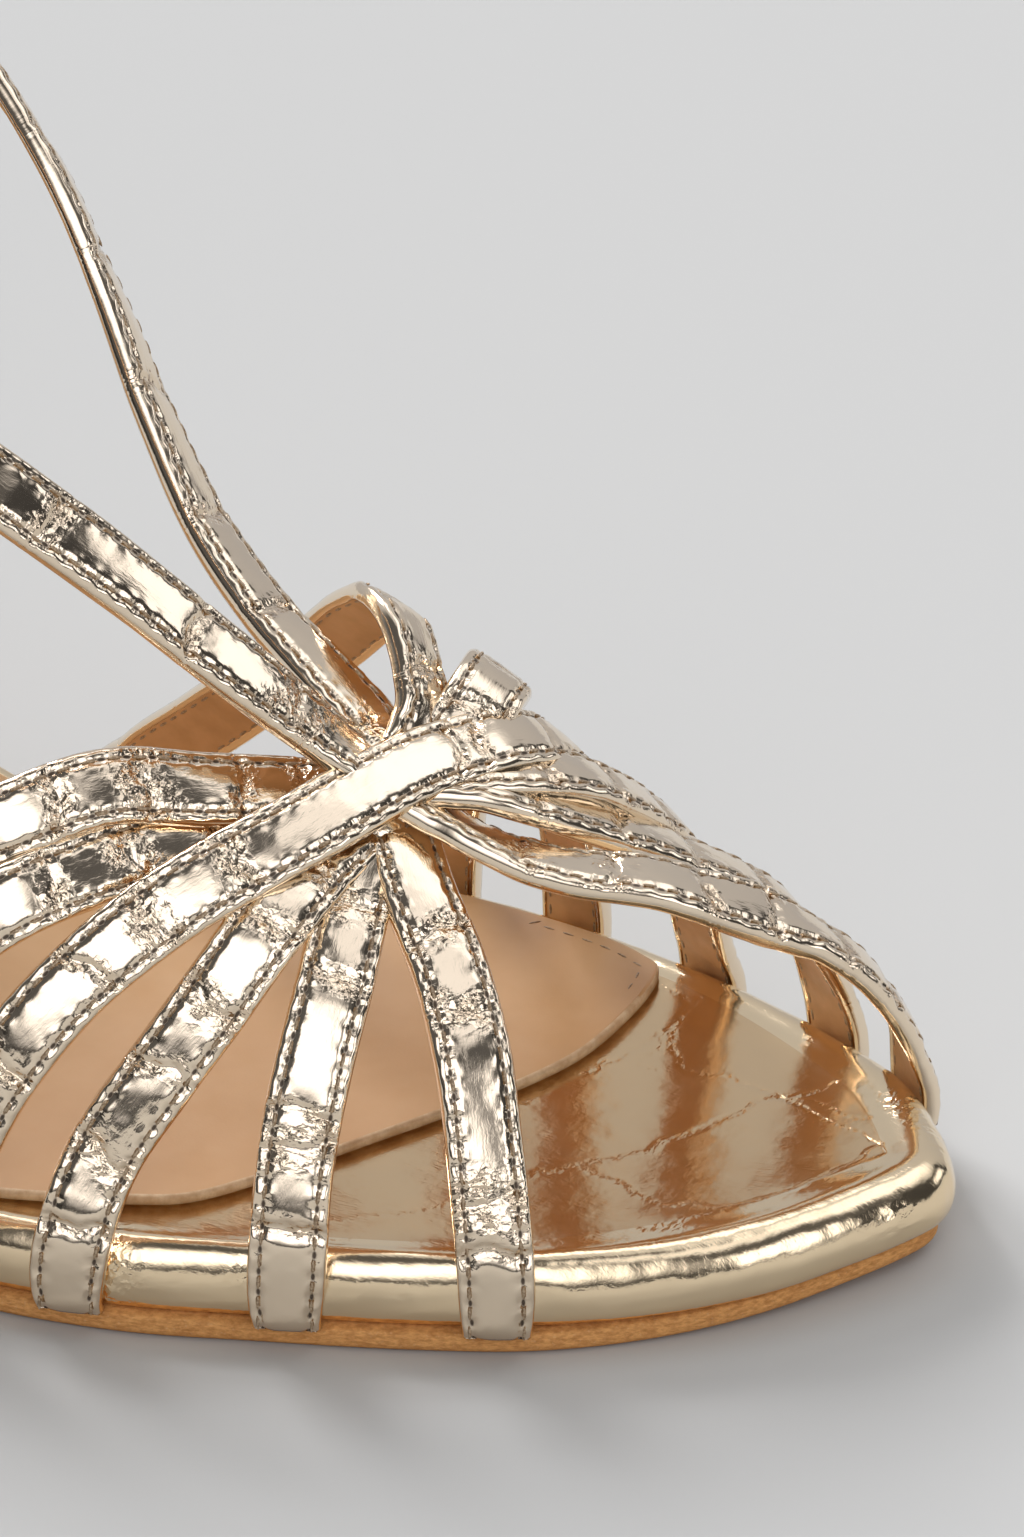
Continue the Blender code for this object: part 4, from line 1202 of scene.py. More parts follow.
@dataclass
class Strap:
    """One stitched strap of foil leather with a tan lining.

    A foot station of 0 means that the strap has no foot at that end. The fields inward and upward
    turn its face over the vamp, and lift moves it out over the straps that it crosses.
    """

    name: str
    rows: Sequence[Sequence[float]]
    outer_foot: float
    inner_foot: float
    creases: Sequence[Sequence[float]]
    surface: FaceRelief = FaceRelief()
    width: float = STRAP_WIDTH
    thick: float = STRAP_THICK
    edge_round: float = 0.55
    crown: float = 0.34
    face_columns: int = 31
    lining_columns: int = 9
    lining_inset: float = 1.1
    pitch: float = 0.36
    seed: float = 1.0
    lift: float = 0.0
    inward: float = 0.0
    upward: float = 0.0
    cad_pitch: float = 3.8
    turn_height: float = 16.0
    tuck_length: float = 2.4
    tuck_deep: float = 0.8
    pinch_length: float = 3.2
    pinch: float = 0.12
    sway: float = 0.10
    sway_length: float = 9.0
    stitch_rise: float = 0.05
    stitch_sink: float = 0.14

    def foot(self, station: float, side: float) -> list[tuple]:
        """Return the two lowest points of a strap, from the outsole up past the bead.

        Args:
            station: Where the strap meets the sole.
            side: -1 for the outer side, 1 for the inner side.

        Returns:
            The lower and the upper point.
        """
        tilt = abs(FOOTBED_TOP(station + 4) - FOOTBED_TOP(station - 4)) / 2
        low = outsole_top(station) + FIT_GAP + tilt
        points = []
        for height in (low, low + 0.6 * FOOTBED_THICK(station)):
            edge = np.array((station, float(SOLE.edge(station, side)), float(height)))
            away = edge_normal(np.array([station]), np.array([side]))[0]
            points.append(tuple(edge + (FIT_GAP + self.thick / 2) * away))
        return points

    def face_normals(self, points: np.ndarray) -> np.ndarray:
        """Return directions that look away from the foot, square to the bead low down.

        Args:
            points: Places along the strap.

        Returns:
            One direction for each place, not of length one.
        """
        away = points[:, None, :] - CORE_POINTS[None]
        reach = np.linalg.norm(away, axis=2)[..., None]
        total = unit(np.sum(away / reach**4, axis=1))
        station, across, height = points.T
        over_vamp = eased((across + 14) / 12) * eased((72 - station) / 16)
        total += self.inward * over_vamp[:, None] * np.array(INWARD_WAY)
        total[:, 2] += self.upward * eased((station - 60) / 20) * eased((140 - station) / 25)
        share = eased((height - FOOTBED_TOP(station)) / self.turn_height)[:, None]
        beside = edge_normal(station, np.where(across > 0, 1.0, -1.0))
        return share * total + (1 - share) * beside

    def trace(self) -> None:
        """Work out the strap's centre line and faces along its length."""
        lead = self.foot(self.outer_foot, -1.0) if self.outer_foot else []
        tail = self.foot(self.inner_foot, 1.0) if self.inner_foot else []
        points = np.array(lead + [tuple(row) for row in self.rows] + tail[::-1])
        places = lengths_along(points)
        fine = SmoothRun(places, points)(np.linspace(0, places[-1], 601))
        self.length = lengths_along(fine)[-1]
        count = max(int(round(self.length / self.cad_pitch)), 2)
        wanted = np.linspace(0, self.length, count + 1)
        coarse = points_along(fine, wanted)
        faces = self.face_normals(coarse)
        for _ in range(2):
            faces[1:-1] = (faces[:-2] + 2 * faces[1:-1] + faces[2:]) / 4
        self.line = SmoothRun(wanted, coarse)
        self.face_line = SmoothRun(wanted, faces)

    def frames(self, u: np.ndarray) -> tuple[np.ndarray, np.ndarray, np.ndarray, np.ndarray]:
        """Return the strap's directions along its length.

        Args:
            u: Lengths along the strap.

        Returns:
            Places, directions along, faces and directions across.
        """
        along = unit(self.line(u + 0.6) - self.line(u - 0.6))
        face = self.face_line(u)
        face = unit(face - np.sum(face * along, axis=1)[:, None] * along)
        return self.line(u) + self.lift * face, along, face, np.cross(along, face)

    def section(self) -> tuple[np.ndarray, np.ndarray, np.ndarray, np.ndarray]:
        """Return the closed cross section: domed face, folded edges and a lining set in between them.

        Returns:
            Offsets across and out, how much each point may crease, and 1 at each point of the lining.
        """
        w, t, r = self.width / 2, self.thick / 2, self.edge_round
        top = np.linspace(-w + r, w - r, self.face_columns)
        dome = t - 0.2 + self.crown * (1 - (top / w) ** 2)
        arc = np.radians((70, 45, 20))
        right = [(w - r + r * math.cos(a), t - 0.6 + r * math.sin(a)) for a in arc]
        right += [(w, 0.0), (w - 0.12, -t + 0.35), (w - 0.4, -t)]
        under = [(w - 0.75, -t), (w - 0.85, -t + 0.14)]
        reach = w - self.lining_inset
        lining = [(x, -t + 0.12) for x in np.linspace(reach, -reach, self.lining_columns)]
        left = [(-x, y) for x, y in reversed(right + under)]
        ring = list(zip(top, dome)) + right + under + lining + left
        ring.append(ring[0])
        across, out = np.array(ring).T
        fade = np.linspace(0.8, 0.0, len(right))
        flat = np.zeros(len(ring) - self.face_columns - len(right))
        crease = np.concatenate([np.ones(self.face_columns), fade, flat])
        crease[-len(right) - 1:-1] = fade[::-1]
        crease[-1] = 1.0
        soft = np.zeros(len(ring))
        first = self.face_columns + len(right) + 1
        soft[first:first + self.lining_columns + 1] = 1.0
        return across, out, crease, soft

    def above_feet(self, u: np.ndarray) -> np.ndarray:
        """Measure how far places lie from the nearest foot.

        Args:
            u: Lengths along the strap.

        Returns:
            A distance along the strap for each.
        """
        from_outer = u if self.outer_foot else np.full_like(u, np.inf)
        from_inner = self.length - u if self.inner_foot else np.full_like(u, np.inf)
        return np.minimum(from_outer, from_inner)

    def build(self, looks: Wardrobe, stitches: Stitches) -> bpy.types.Object:
        """Make the strap and sew both of its rows.

        Args:
            looks: The finishes.
            stitches: The sewing, which gains the strap's rows.

        Returns:
            The strap.
        """
        self.trace()
        u = np.linspace(0, self.length, int(round(self.length / self.pitch)) + 1)
        point, _, face, side = self.frames(u)
        across, out, crease, soft = self.section()
        uu, vv = np.meshgrid(u, across, indexing="ij")
        height, zone = self.surface.relief(uu, vv, self.creases, self.seed)
        low = self.above_feet(u)
        tuck = self.tuck_deep * np.clip(1 - low / self.tuck_length, 0.0, 1.0) ** 2
        pinch = self.pinch * np.exp(-((low / self.pinch_length) ** 2))
        row = np.stack([u, np.full_like(u, self.seed * 7)], axis=-1)
        sway = self.sway * ripple(row, self.sway_length, self.seed)
        raised = out[None, :] + crease[None, :] * height - tuck[:, None]
        wide = across[None, :] * (1 - pinch + sway / self.width * 2)[:, None]
        places = point[:, None, :] + wide[..., None] * side[:, None, :]
        places += raised[..., None] * face[:, None, :]
        ends = [np.broadcast_to(end, (1, *places.shape[1:])) for end in (point[0], point[-1])]
        places = np.concatenate([ends[0], places, ends[1]])
        uu, vv, zone = (np.concatenate([grid[:1], grid, grid[-1:]]) for grid in (uu, vv, zone))
        marks = {"crinkle": zone * np.maximum(crease, 0.25)}
        slots = (soft[:-1] + soft[1:] > 1.0).astype(int)
        skin = Skin(places, np.stack([uu, vv], axis=-1), marks, slots)
        piece = skin.make(self.name, [looks.strap, looks.lining])
        self.sew(stitches)
        return settle(piece, ["upper"])

    def sew(self, stitches: Stitches) -> None:
        """Sew both rows, on the face and on the lining.

        Args:
            stitches: The sewing, which gains the rows.
        """
        u = np.arange(STITCH_PITCH / 2, self.length - 0.8, STITCH_PITCH)
        point, along, face, side = self.frames(u)
        for row in (-STITCH_ROW, STITCH_ROW):
            height, _ = self.surface.relief(u, np.full_like(u, row), self.creases, self.seed)
            seam = point + row * side
            level = self.thick / 2 + height[:, None] + self.stitch_rise
            stitches.sew(seam + level * face, along, face, FACE_STITCH)
            stitches.sew(seam - (self.thick / 2 - self.stitch_sink) * face, along, -face, LINING_STITCH)


@dataclass
class Upper:
    """All straps of the upper, which cross over the vamp."""

    ankle_height: float = 134.0
    ankle_sag: float = 3.0
    ankle_ease: float = 0.7
    ankle_turns: tuple = (0.62, 0.42, 0.2, 0.0, -0.2, -0.42, -0.62)
    counter: Counter = field(default_factory=Counter)

    def ankle_rows(self) -> list[tuple]:
        """Lead the long strap round the outside of the heel cup.

        Returns:
            Station, across and height of its points there.
        """
        rows = []
        cup = self.counter
        out = (cup.wall + STRAP_THICK) / 2 + FIT_GAP + self.ankle_ease
        for turn in self.ankle_turns:
            seat = cup.point(np.array(turn), np.array(0.0))[2]
            height = self.ankle_height - self.ankle_sag * abs(turn) - seat
            here, ahead, behind = (cup.point(np.array(turn + k), height) for k in (0.0, 0.02, -0.02))
            along = unit(ahead[:2] - behind[:2])
            normal = np.array((along[1], -along[0]))
            if normal[0] * math.cos(turn * math.pi / 2) + normal[1] * math.sin(turn * math.pi / 2) < 0:
                normal = -normal
            rows.append((here[0] + normal[0] * out, here[1] + normal[1] * out, here[2]))
        return rows

    def straps(self) -> list[Strap]:
        """List the straps.

        Returns:
            The straps from the lowest layer to the cross band on top.
        """
        long_rows = list(ANKLE_ROWS) + self.ankle_rows() + list(ANKLE_TAIL)
        return [
            Strap("ankle_strap", long_rows, 34.5, 0.0, ANKLE_CREASES, seed=1.0),
            Strap("first_strap", FIRST_ROWS, 0.0, 12.5, FIRST_CREASES, seed=2.0, inward=0.60, upward=0.25),
            Strap("second_strap", SECOND_ROWS, 54.5, 110.0, SECOND_CREASES, seed=3.0, inward=0.40),
            Strap("third_strap", THIRD_ROWS, 76.0, 73.0, THIRD_CREASES, seed=4.0),
            Strap("fourth_strap", FOURTH_ROWS, 123.0, 23.5, FOURTH_CREASES, seed=5.0, inward=0.60),
            Strap("fifth_strap", FIFTH_ROWS, 107.0, 40.0, FIFTH_CREASES, seed=6.0, inward=0.60),
            Strap("cross_band", BAND_ROWS, 92.5, 57.5, BAND_CREASES, seed=7.0, lift=0.3),
        ]

    def build(self, looks: Wardrobe, stitches: Stitches) -> list[bpy.types.Object]:
        """Make every strap."""
        return [strap.build(looks, stitches) for strap in self.straps()]


@dataclass
class Footbed:
    """The wrapped platform with its rounded bead and veined top."""

    fine_to: float = 64.0
    fine_rows: int = 200
    coarse_rows: int = 110
    top_columns: int = 150
    bead_columns: int = 26
    dent: float = 0.16
    dent_centre: tuple = (80.0, 0.0)
    top_drop: float = 0.15
    drop_length: float = 1.5
    smooth_mark: float = 0.02
    vein_wander: float = 0.7
    vein_wander_size: float = 3.0
    vein_depth: float = 0.36
    vein_breadth: float = 0.8
    vein_zone_half: float = 0.4

    def turns(self) -> np.ndarray:
        """Spread the rows along the shoe.

        Returns:
            Their angles, close together in front of the sock.
        """
        split = float(SOLE.angle(np.array(self.fine_to)))
        front = np.linspace(0, split, self.fine_rows, endpoint=False)
        return np.concatenate([front, np.linspace(split, np.pi, self.coarse_rows)])

    def level(self, plan: np.ndarray, share: float) -> np.ndarray:
        """Return plan places raised to a share of the footbed's thickness."""
        thick = FOOTBED_THICK(plan[..., 0])
        return with_height(plan, FOOTBED_TOP(plan[..., 0]) - thick * (1 - share))

    def veins(self, places: np.ndarray) -> tuple[np.ndarray, np.ndarray]:
        """Return the height of the vein creases and how crumpled they are.

        Args:
            places: Places of the footbed's top.

        Returns:
            Two arrays with one value for each place.
        """
        plan = places[..., :2]
        height = np.zeros(plan.shape[:-1])
        zone = np.zeros(plan.shape[:-1])
        wander = [ripple(plan, self.vein_wander_size, seed) for seed in (4.0, 8.0)]
        plan = plan + self.vein_wander * np.stack(wander, axis=-1)
        for vein in VEINS:
            steps = np.linspace(0, len(vein.points) - 1, 8 * len(vein.points))
            line = SmoothRun(range(len(vein.points)), vein.points)(steps)
            near = np.full(height.shape, np.inf)
            for start, end in zip(line[:-1], line[1:]):
                run = end - start
                t = np.clip(((plan - start) @ run) / (run @ run), 0.0, 1.0)
                near = np.minimum(near, np.linalg.norm(plan - start - t[..., None] * run, axis=-1))
            fall = np.exp(-((near / (self.vein_breadth * vein.broad)) ** 2))
            height -= self.vein_depth * vein.deep * fall
            crumple = np.exp(-((near / self.vein_zone_half) ** 2))
            zone = np.maximum(zone, (0.08 + 1.1 * vein.deep) * crumple)
        return height, zone

    def bead(self, turns: np.ndarray) -> tuple[list[np.ndarray], list[np.ndarray]]:
        """Return the dented bead from its foot up.

        Args:
            turns: The angles of the rows.

        Returns:
            Columns of the inner side and columns of the outer side.
        """
        curve = SmoothRun(range(len(BEAD)), BEAD)(np.linspace(0, len(BEAD) - 1, self.bead_columns))
        inner, outer = [], []
        for number, (inset, share) in enumerate(curve):
            dent = self.dent * math.sin(math.pi * number / (self.bead_columns - 1))
            seed = 0.12 * number
            plans = SOLE.sides(turns, lambda station, k=inset: k * BEAD_WIDTH(station))
            for columns, plan in zip((inner, outer), plans):
                uneven = ripple(plan, size=4.0, seed=seed) + 0.5 * ripple(plan, size=1.6, seed=5.0 + seed)
                inwards = unit(np.array(self.dent_centre) - plan)
                columns.append(self.level(plan + dent * uneven[:, None] * inwards, share)[:, None, :])
        return inner, outer

    def build(self, looks: Wardrobe) -> bpy.types.Object:
        """Make the footbed as one closed skin.

        Args:
            looks: The finishes.

        Returns:
            The footbed.
        """
        inner, outer = self.bead(self.turns())
        top = self.level(columns_between(outer[-1], inner[-1], self.top_columns), BEAD[-1][1])
        places = np.concatenate([top, *inner[-2::-1], (inner[0] + outer[0]) / 2, *outer], axis=1)
        count = self.top_columns + 1
        steps = np.minimum(np.arange(count), np.arange(count)[::-1])
        pace = np.linalg.norm(top[:, -1] - top[:, 0], axis=1)[:, None] / self.top_columns
        height, zone = self.veins(top)
        swell = 0.05 * ripple(top[..., :2], size=7.0, seed=2.0)
        height = (height + swell) * np.clip(steps / 3.0, 0, 1)
        height -= self.top_drop * (1 - np.exp(-steps * pace / self.drop_length))
        patches = ripple(places[..., :2], size=7.0, seed=3.0)
        marks = self.smooth_mark + 0.9 * np.clip(patches - 0.22, 0.0, 0.5)
        marks[:, :count] = np.maximum(zone, self.smooth_mark)
        places[:, :count, 2] += height
        slots = (np.arange(places.shape[1] - 1) >= self.top_columns).astype(int)
        skin = Skin(places, None, {"crinkle": marks}, slots)
        piece = skin.make("footbed_cover", [looks.foil, looks.bead])
        return settle(piece, ["footbed"])


@dataclass
class Outsole:
    """The leather sole under the footbed."""

    rows: int = 260
    top_columns: int = 4
    bottom_columns: int = 24
    # Cut edge from the upper side down: how far out, share of the thickness, millimetres added
    edge: tuple = (
        (-0.4, 1.0, 0.0), (-0.1, 1.0, -0.12), (0.0, 1.0, -0.4), (0.05, 0.5, 0.0), (0.0, 0.0, 0.5),
        (-0.15, 0.0, 0.16), (-0.5, 0.0, 0.0),
    )

    def build(self, looks: Wardrobe) -> bpy.types.Object:
        """Make the sole with its cut edge.

        Args:
            looks: The finishes.

        Returns:
            The sole.
        """
        turns = np.linspace(0, np.pi, self.rows)
        inner, outer = [], []
        for grow, share, extra in self.edge:
            plans = SOLE.sides(turns, lambda station, k=grow: -k - OUTSOLE_LIP(station))
            for columns, plan in zip((inner, outer), plans):
                low, high = outsole_bottom(plan[:, 0]), outsole_top(plan[:, 0])
                columns.append(with_height(plan, low + (high - low) * share + extra)[:, None, :])
        top = self.flat(outer[0], inner[0], self.top_columns, outsole_top)
        low = self.flat(inner[-1], outer[-1], self.bottom_columns, outsole_bottom)
        places = np.concatenate([top, *inner[1:-1], low, *outer[-2::-1]], axis=1)
        piece = Skin(places).make("outsole_leather", [looks.sole])
        return settle(piece, ["outsole"])

    def flat(self, first: np.ndarray, last: np.ndarray, count: int, level: Callable) -> np.ndarray:
        """Return columns of a flat side from one edge to the other, at the level of a station."""
        plan = columns_between(first, last, count)
        return with_height(plan, level(plan[..., 0]))


@dataclass
class Sock:
    """The thin sock that lies on the footbed behind the toes."""

    thick: float = 1.0
    rows: int = 220
    top_columns: int = 60
    seam_inset: float = 2.0
    # Cut edge from the top down: inset, share of the thickness
    edge: tuple = ((0.5, 1.0), (0.22, 0.96), (0.05, 0.82), (0.0, 0.6), (0.0, 0.0))

    def floor(self, station: np.ndarray) -> np.ndarray:
        """Return the height of the sock's under side."""
        return FOOTBED_TOP(station) - 0.05 * FOOTBED_THICK(station) + FIT_GAP

    def level(self, plan: np.ndarray, share: float) -> np.ndarray:
        """Return plan places raised to a share of the sock's thickness."""
        return with_height(plan, self.floor(plan[..., 0]) + share * self.thick)

    def build(self, looks: Wardrobe, stitches: Stitches) -> bpy.types.Object:
        """Make the sock with its pale cut edge and sew its front edge.

        Args:
            looks: The finishes.
            stitches: The sewing, which gains the sock's row.

        Returns:
            The sock.
        """
        turns = np.linspace(0, np.pi, self.rows)
        inner, outer = [], []
        for inset, share in self.edge:
            for columns, plan in zip((inner, outer), SOCK_PLAN.sides(turns, inset)):
                columns.append(self.level(plan, share)[:, None, :])
        top = self.level(columns_between(outer[0], inner[0], self.top_columns), 1.0)
        share = np.linspace(0, 1, self.top_columns + 1)
        from_edge = np.clip(np.minimum(share, 1 - share) * 8, 0, 1)
        top[..., 2] += 0.10 * ripple(top[..., :2], size=16.0, seed=6.0) * from_edge
        places = np.concatenate([top, *inner[1:], *outer[::-1]], axis=1)
        slots = (np.arange(places.shape[1] - 1) > self.top_columns).astype(int)
        piece = Skin(places, None, {}, slots).make("insole_sock_leather", [looks.sock, looks.cut])
        self.sew(stitches)
        return settle(piece, ["insole_sock"])

    def sew(self, stitches: Stitches) -> None:
        """Sew the inner front edge.

        Args:
            stitches: The sewing, which gains the row.
        """
        line = self.level(SOCK_PLAN.sides(np.linspace(0.02, 0.62, 400), self.seam_inset)[0], 1.0)
        wanted = np.arange(0.5, lengths_along(line)[-1] - 2, STITCH_PITCH)
        spots = points_along(line, wanted)
        along = unit(points_along(line, wanted + 0.4) - spots)
        out = np.tile((0.0, 0.0, 1.0), (len(spots), 1))
        stitches.sew(spots, along, out, SOCK_STITCH)


@dataclass
class Heel:
    """The covered heel and the lift that it stands on."""

    breast_top: float = 184.0
    breast_foot: float = 193.0
    breast_columns: int = 12
    inset: float = 1.2
    foot_back: float = 222.5
    foot_half_width: float = 15.0
    lift_thick: float = 5.5
    steps: int = 48
    rings: int = 25
    crisp_angle: float = 40.0

    def seat(self) -> np.ndarray:
        """Outline the heel's top.

        Returns:
            A plan ring just inside the sole's outline.
        """
        share = np.sin(np.linspace(0, np.pi / 2, self.steps + 1))
        station = self.breast_top + (SHOE_LENGTH - self.inset - self.breast_top) * share
        on_edge = self.breast_top + (SHOE_LENGTH - self.breast_top) * share
        inner = np.maximum(SOLE.edge(on_edge, np.ones_like(on_edge)) - self.inset, 0.0)
        outer = np.minimum(SOLE.edge(on_edge, -np.ones_like(on_edge)) + self.inset, 0.0)
        return self.closed(np.stack([station, inner], axis=1), np.stack([station, outer], axis=1))

    def base(self) -> np.ndarray:
        """Outline the heel's foot.

        Returns:
            A plan ring.
        """
        turn = np.linspace(0, np.pi / 2, self.steps + 1)
        station = self.breast_foot + (self.foot_back - self.breast_foot) * np.sin(turn)
        half = self.foot_half_width * np.maximum(np.cos(turn), 0.0) ** 0.7
        return self.closed(np.stack([station, half], axis=1), np.stack([station, -half], axis=1))

    def closed(self, inner: np.ndarray, outer: np.ndarray) -> np.ndarray:
        """Return a ring down the inner side, back up the outer side and over the breast."""
        front = np.linspace(outer[0], inner[0], self.breast_columns + 1)[1:]
        return np.concatenate([inner, outer[-2::-1], front])

    def stack(
        self, rings: Sequence[np.ndarray], name: str, material: bpy.types.Material
    ) -> bpy.types.Object:
        """Make a closed body through rings, with its two ends filled.

        Args:
            rings: The body's rings from one end to the other.
            name: The piece's name.
            material: Its finish.

        Returns:
            The new object.
        """
        ends = [np.broadcast_to(ring.mean(axis=0), ring.shape) for ring in (rings[0], rings[-1])]
        places = np.stack([ends[0], *rings, ends[1]])
        marks = 0.03 + np.clip(ripple(places[..., 1:], size=11.0, seed=14.0) - 0.15, 0.0, 0.45)
        piece = Skin(places, None, {"crinkle": marks}).make(name, [material])
        piece.data.set_sharp_from_angle(angle=math.radians(self.crisp_angle))
        return piece

    def build(self, looks: Wardrobe) -> list[bpy.types.Object]:
        """Make the heel and its lift.

        Args:
            looks: The finishes.

        Returns:
            The heel and the lift.
        """
        seat, base = self.seat(), self.base()
        top = with_height(seat, outsole_bottom(seat[:, 0]) - FIT_GAP)
        low = with_height(base, np.full(len(base), self.lift_thick + FIT_GAP))
        rings = []
        for drop in np.linspace(0, 1, self.rings):
            ring = top + (low - top) * (1 - (1 - drop) ** 1.6)
            ring[:, 2] = top[:, 2] + (low[:, 2] - top[:, 2]) * drop
            rings.append(ring)
        heel = self.stack(rings, "heel_cover", looks.cover)
        middle = base.mean(axis=0)
        thick = self.lift_thick
        lift = []
        for shrink, height in ((0.6, 0.0), (0.3, 0.15), (0.2, 0.6), (0.2, thick - 0.3), (0.35, thick)):
            ring = middle + (base - middle) * (1 - shrink / self.foot_half_width)
            lift.append(with_height(ring, np.full(len(ring), height)))
        foot = self.stack(lift, "heel_lift", looks.rubber)
        return [settle(heel, ["heel"]), settle(foot, ["heel_top_lift"])]


@dataclass
class Buckle:
    """The plain frame and prong on the outer side of the ankle strap."""

    station: float = 165.0
    above: float = 110.0
    wire: float = 1.8
    length: float = 12.0
    height: float = 14.0
    corner: float = 2.5
    prong: float = 1.4
    prong_rows: int = 33
    prong_taper: float = 0.1

    def tube(
        self, name: str, points: np.ndarray, out: np.ndarray, radii: np.ndarray,
        material: bpy.types.Material,
    ) -> bpy.types.Object:
        """Make a round bar along points.

        Args:
            name: The piece's name.
            points: The bar's middle line on the shoe.
            out: A direction square to the whole line.
            radii: The bar's radius at each point.
            material: Its finish.

        Returns:
            The new object.
        """
        along = np.gradient(points, axis=0)
        if np.allclose(points[0], points[-1]):
            along[0] = along[-1] = points[1] - points[-2]
        side = np.cross(unit(along), out)
        turn = np.linspace(0, 2 * np.pi, 17)
        ring = np.cos(turn)[None, :, None] * side[:, None, :] + np.sin(turn)[None, :, None] * out
        return Skin(points[:, None, :] + radii[:, None, None] * ring).make(name, [material])

    def build(self, strap: Strap, looks: Wardrobe) -> list[bpy.types.Object]:
        """Make the buckle on the strap's outer run.

        Args:
            strap: The ankle strap, already traced.
            looks: The finishes.

        Returns:
            The frame and the prong.
        """
        u = np.linspace(0, strap.length, 1600)
        line = strap.line(u)
        outer = (line[:, 1] < 0) & (line[:, 2] > self.above)
        spot = u[outer][np.argmin(np.abs(line[outer, 0] - self.station))]
        here, run, face, across = (a[0] for a in strap.frames(np.array([spot])))
        lift = strap.thick / 2 + FIT_GAP + self.wire / 2
        half_run = (self.length - self.wire) / 2 - self.corner
        half_across = (self.height - self.wire) / 2 - self.corner
        ring = []
        for number, (right, high) in enumerate(((1, 1), (-1, 1), (-1, -1), (1, -1))):
            for turn in np.linspace(number, number + 1, 11) * np.pi / 2:
                a = right * half_run + self.corner * math.cos(turn)
                b = high * half_across + self.corner * math.sin(turn)
                ring.append(here + a * run + b * across + lift * face)
        ring = np.array(ring + ring[:1])
        wire = np.full(len(ring), self.wire / 2)
        frame_bar = self.tube("buckle_frame_bar", ring, face, wire, looks.metal)
        above = lift + self.wire / 2 + FIT_GAP + self.prong / 2
        places = np.linspace(-1, 1, self.prong_rows)
        taper = np.clip((np.abs(places) - (1 - self.prong_taper)) / self.prong_taper, 0, 1)
        round_end = np.sqrt(np.clip(1 - taper**2, 0, 1))
        bar = here + places[:, None] * self.length / 2 * run + above * face
        prong_bar = self.tube("buckle_prong_bar", bar, face, round_end * self.prong / 2, looks.metal)
        return [
            settle(frame_bar, ["buckle_frame"]),
            settle(prong_bar, ["buckle_prong"]),
        ]


class Card(NamedTuple):
    """A soft panel of the studio: middle and half size in degrees round and up, softness, brightness."""

    round_at: float
    round_half: float
    up_at: float
    up_half: float
    soft: float
    light: float


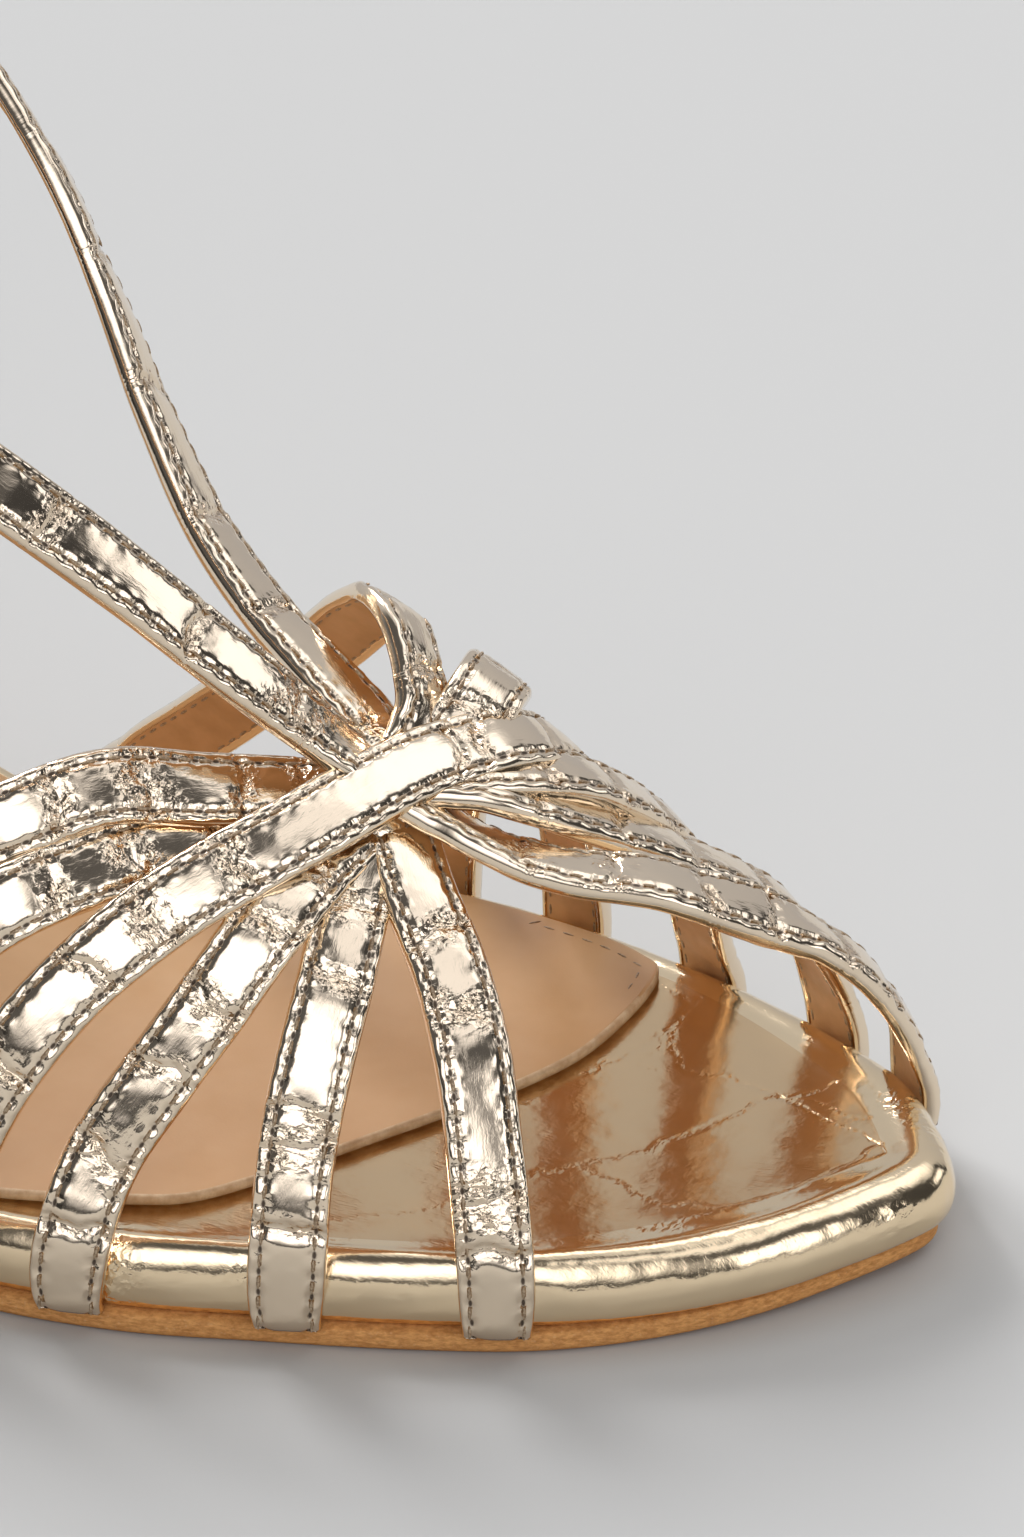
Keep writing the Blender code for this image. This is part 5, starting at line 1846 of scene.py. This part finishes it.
@dataclass
class Studio:
    """Floor, soft light and camera. A later card covers an earlier one."""

    target: tuple = (0.0673, 0.0030, 0.0501)
    azimuth: float = 25.0
    elevation: float = 30.0
    distance: float = 1.2
    lens: float = 275.45
    sensor: float = 36.0
    sight: float = 50.0
    floor_size: float = 6.0
    floor_drop: float = 0.0002
    floor_tone: tuple = (0.55, 0.545, 0.52, 1.0)
    tint: tuple = (1.0, 1.01, 1.06)
    room_light: float = 0.46
    room_rise: float = 0.16
    cards: tuple = (
        Card(20.0, 95.0, 30.0, 62.0, 24.0, 0.10),
        Card(25.0, 80.0, 4.0, 7.0, 6.0, 0.03),
        Card(120.0, 40.0, 14.0, 20.0, 6.0, 0.05),
        Card(133.0, 14.0, 17.0, 8.5, 9.0, 1.5),
        Card(18.0, 27.0, 33.0, 20.0, 24.0, 2.0),
        Card(71.0, 12.0, 20.0, 15.0, 13.0, 2.0),
        Card(85.0, 40.0, 66.0, 9.0, 12.0, 1.1),
        Card(140.0, 32.0, 58.0, 14.0, 20.0, 1.6),
        Card(-150.0, 24.0, 64.0, 10.0, 8.0, 2.0),
        Card(-118.0, 17.0, 40.0, 10.0, 8.0, 17.0),
    )

    def world(self) -> None:
        """Light the scene with a pale room and soft panels."""
        world = bpy.data.worlds.new("studio")
        bpy.context.scene.world = world
        world.use_nodes = True
        pen = NodePen(world.node_tree)
        way = pen.add("SeparateXYZ", {0: pen.add("TexCoord", {}).outputs["Generated"]}).outputs
        around = pen.math("DEGREES", pen.math("ARCTAN2", way[0], pen.math("MULTIPLY", way[1], -1.0)))
        up = pen.math("DEGREES", pen.math("ARCSINE", way[2]))
        light = pen.math("MULTIPLY_ADD", pen.math("MAXIMUM", way[2], 0.0), self.room_rise, self.room_light)
        for card in self.cards:
            inside = []
            spans = ((around, card.round_at, card.round_half), (up, card.up_at, card.up_half))
            for angle, at, half in spans:
                aside = pen.math("ABSOLUTE", pen.math("SUBTRACT", angle, at))
                inside.append(pen.ramp(aside, half - card.soft / 2, half + card.soft / 2, 1.0, 0.0))
            step = pen.math("SUBTRACT", card.light, light)
            light = pen.math("MULTIPLY_ADD", step, pen.math("MULTIPLY", *inside), light)
        tinted = pen.add("VectorMath", {0: light, 1: self.tint}, operation="MULTIPLY").outputs[0]
        back = world.node_tree.nodes["Background"]
        pen.put(back.inputs["Color"], tinted)
        pen.put(back.inputs["Strength"], 1.0)

    def floor(self) -> None:
        """Lay the plain pale floor."""
        mesh = bpy.data.meshes.new("floor")
        grid = bmesh.new()
        bmesh.ops.create_grid(grid, x_segments=4, y_segments=4, size=self.floor_size)
        bmesh.ops.translate(grid, verts=grid.verts, vec=(0.0, 0.0, -self.floor_drop))
        grid.to_mesh(mesh)
        grid.free()
        paper = {"Base Color": self.floor_tone, "Roughness": 0.9, "Specular IOR Level": 0.1}
        mesh.materials.append(FinishPen("floor_paper").finish(paper))
        link(bpy.data.objects.new("floor", mesh))

    def camera(self) -> None:
        """Set the camera at the picture's angle and framing."""
        data = bpy.data.cameras.new("camera")
        data.sensor_width = self.sensor
        data.lens = self.lens
        data.clip_end = self.sight
        turn, rise = math.radians(self.azimuth), math.radians(self.elevation)
        back = Vector((math.sin(turn) * math.cos(rise), -math.cos(turn) * math.cos(rise), math.sin(rise)))
        eye = link(bpy.data.objects.new("camera", data))
        eye.location = Vector(self.target) + back * self.distance
        eye.rotation_euler = (-back).to_track_quat("-Z", "Y").to_euler()
        bpy.context.scene.camera = eye

    def build(self) -> None:
        """Make the whole studio."""
        bpy.context.scene.view_settings.view_transform = "Standard"
        self.camera()
        self.world()
        self.floor()


def main() -> None:
    """Build the studio and every piece of the shoe in order."""
    logging.basicConfig(level=logging.INFO, format="%(name)s %(message)s")
    Studio().build()
    looks = Wardrobe()
    stitches = Stitches()
    Outsole().build(looks)
    Footbed().build(looks)
    Sock().build(looks, stitches)
    Heel().build(looks)
    upper = Upper()
    upper.counter.build(looks, stitches)
    upper.build(looks, stitches)
    ankle = upper.straps()[0]
    ankle.trace()
    Buckle().build(ankle, looks)
    settle(stitches.make(looks.thread), [])


if __name__ == "__main__":
    main()
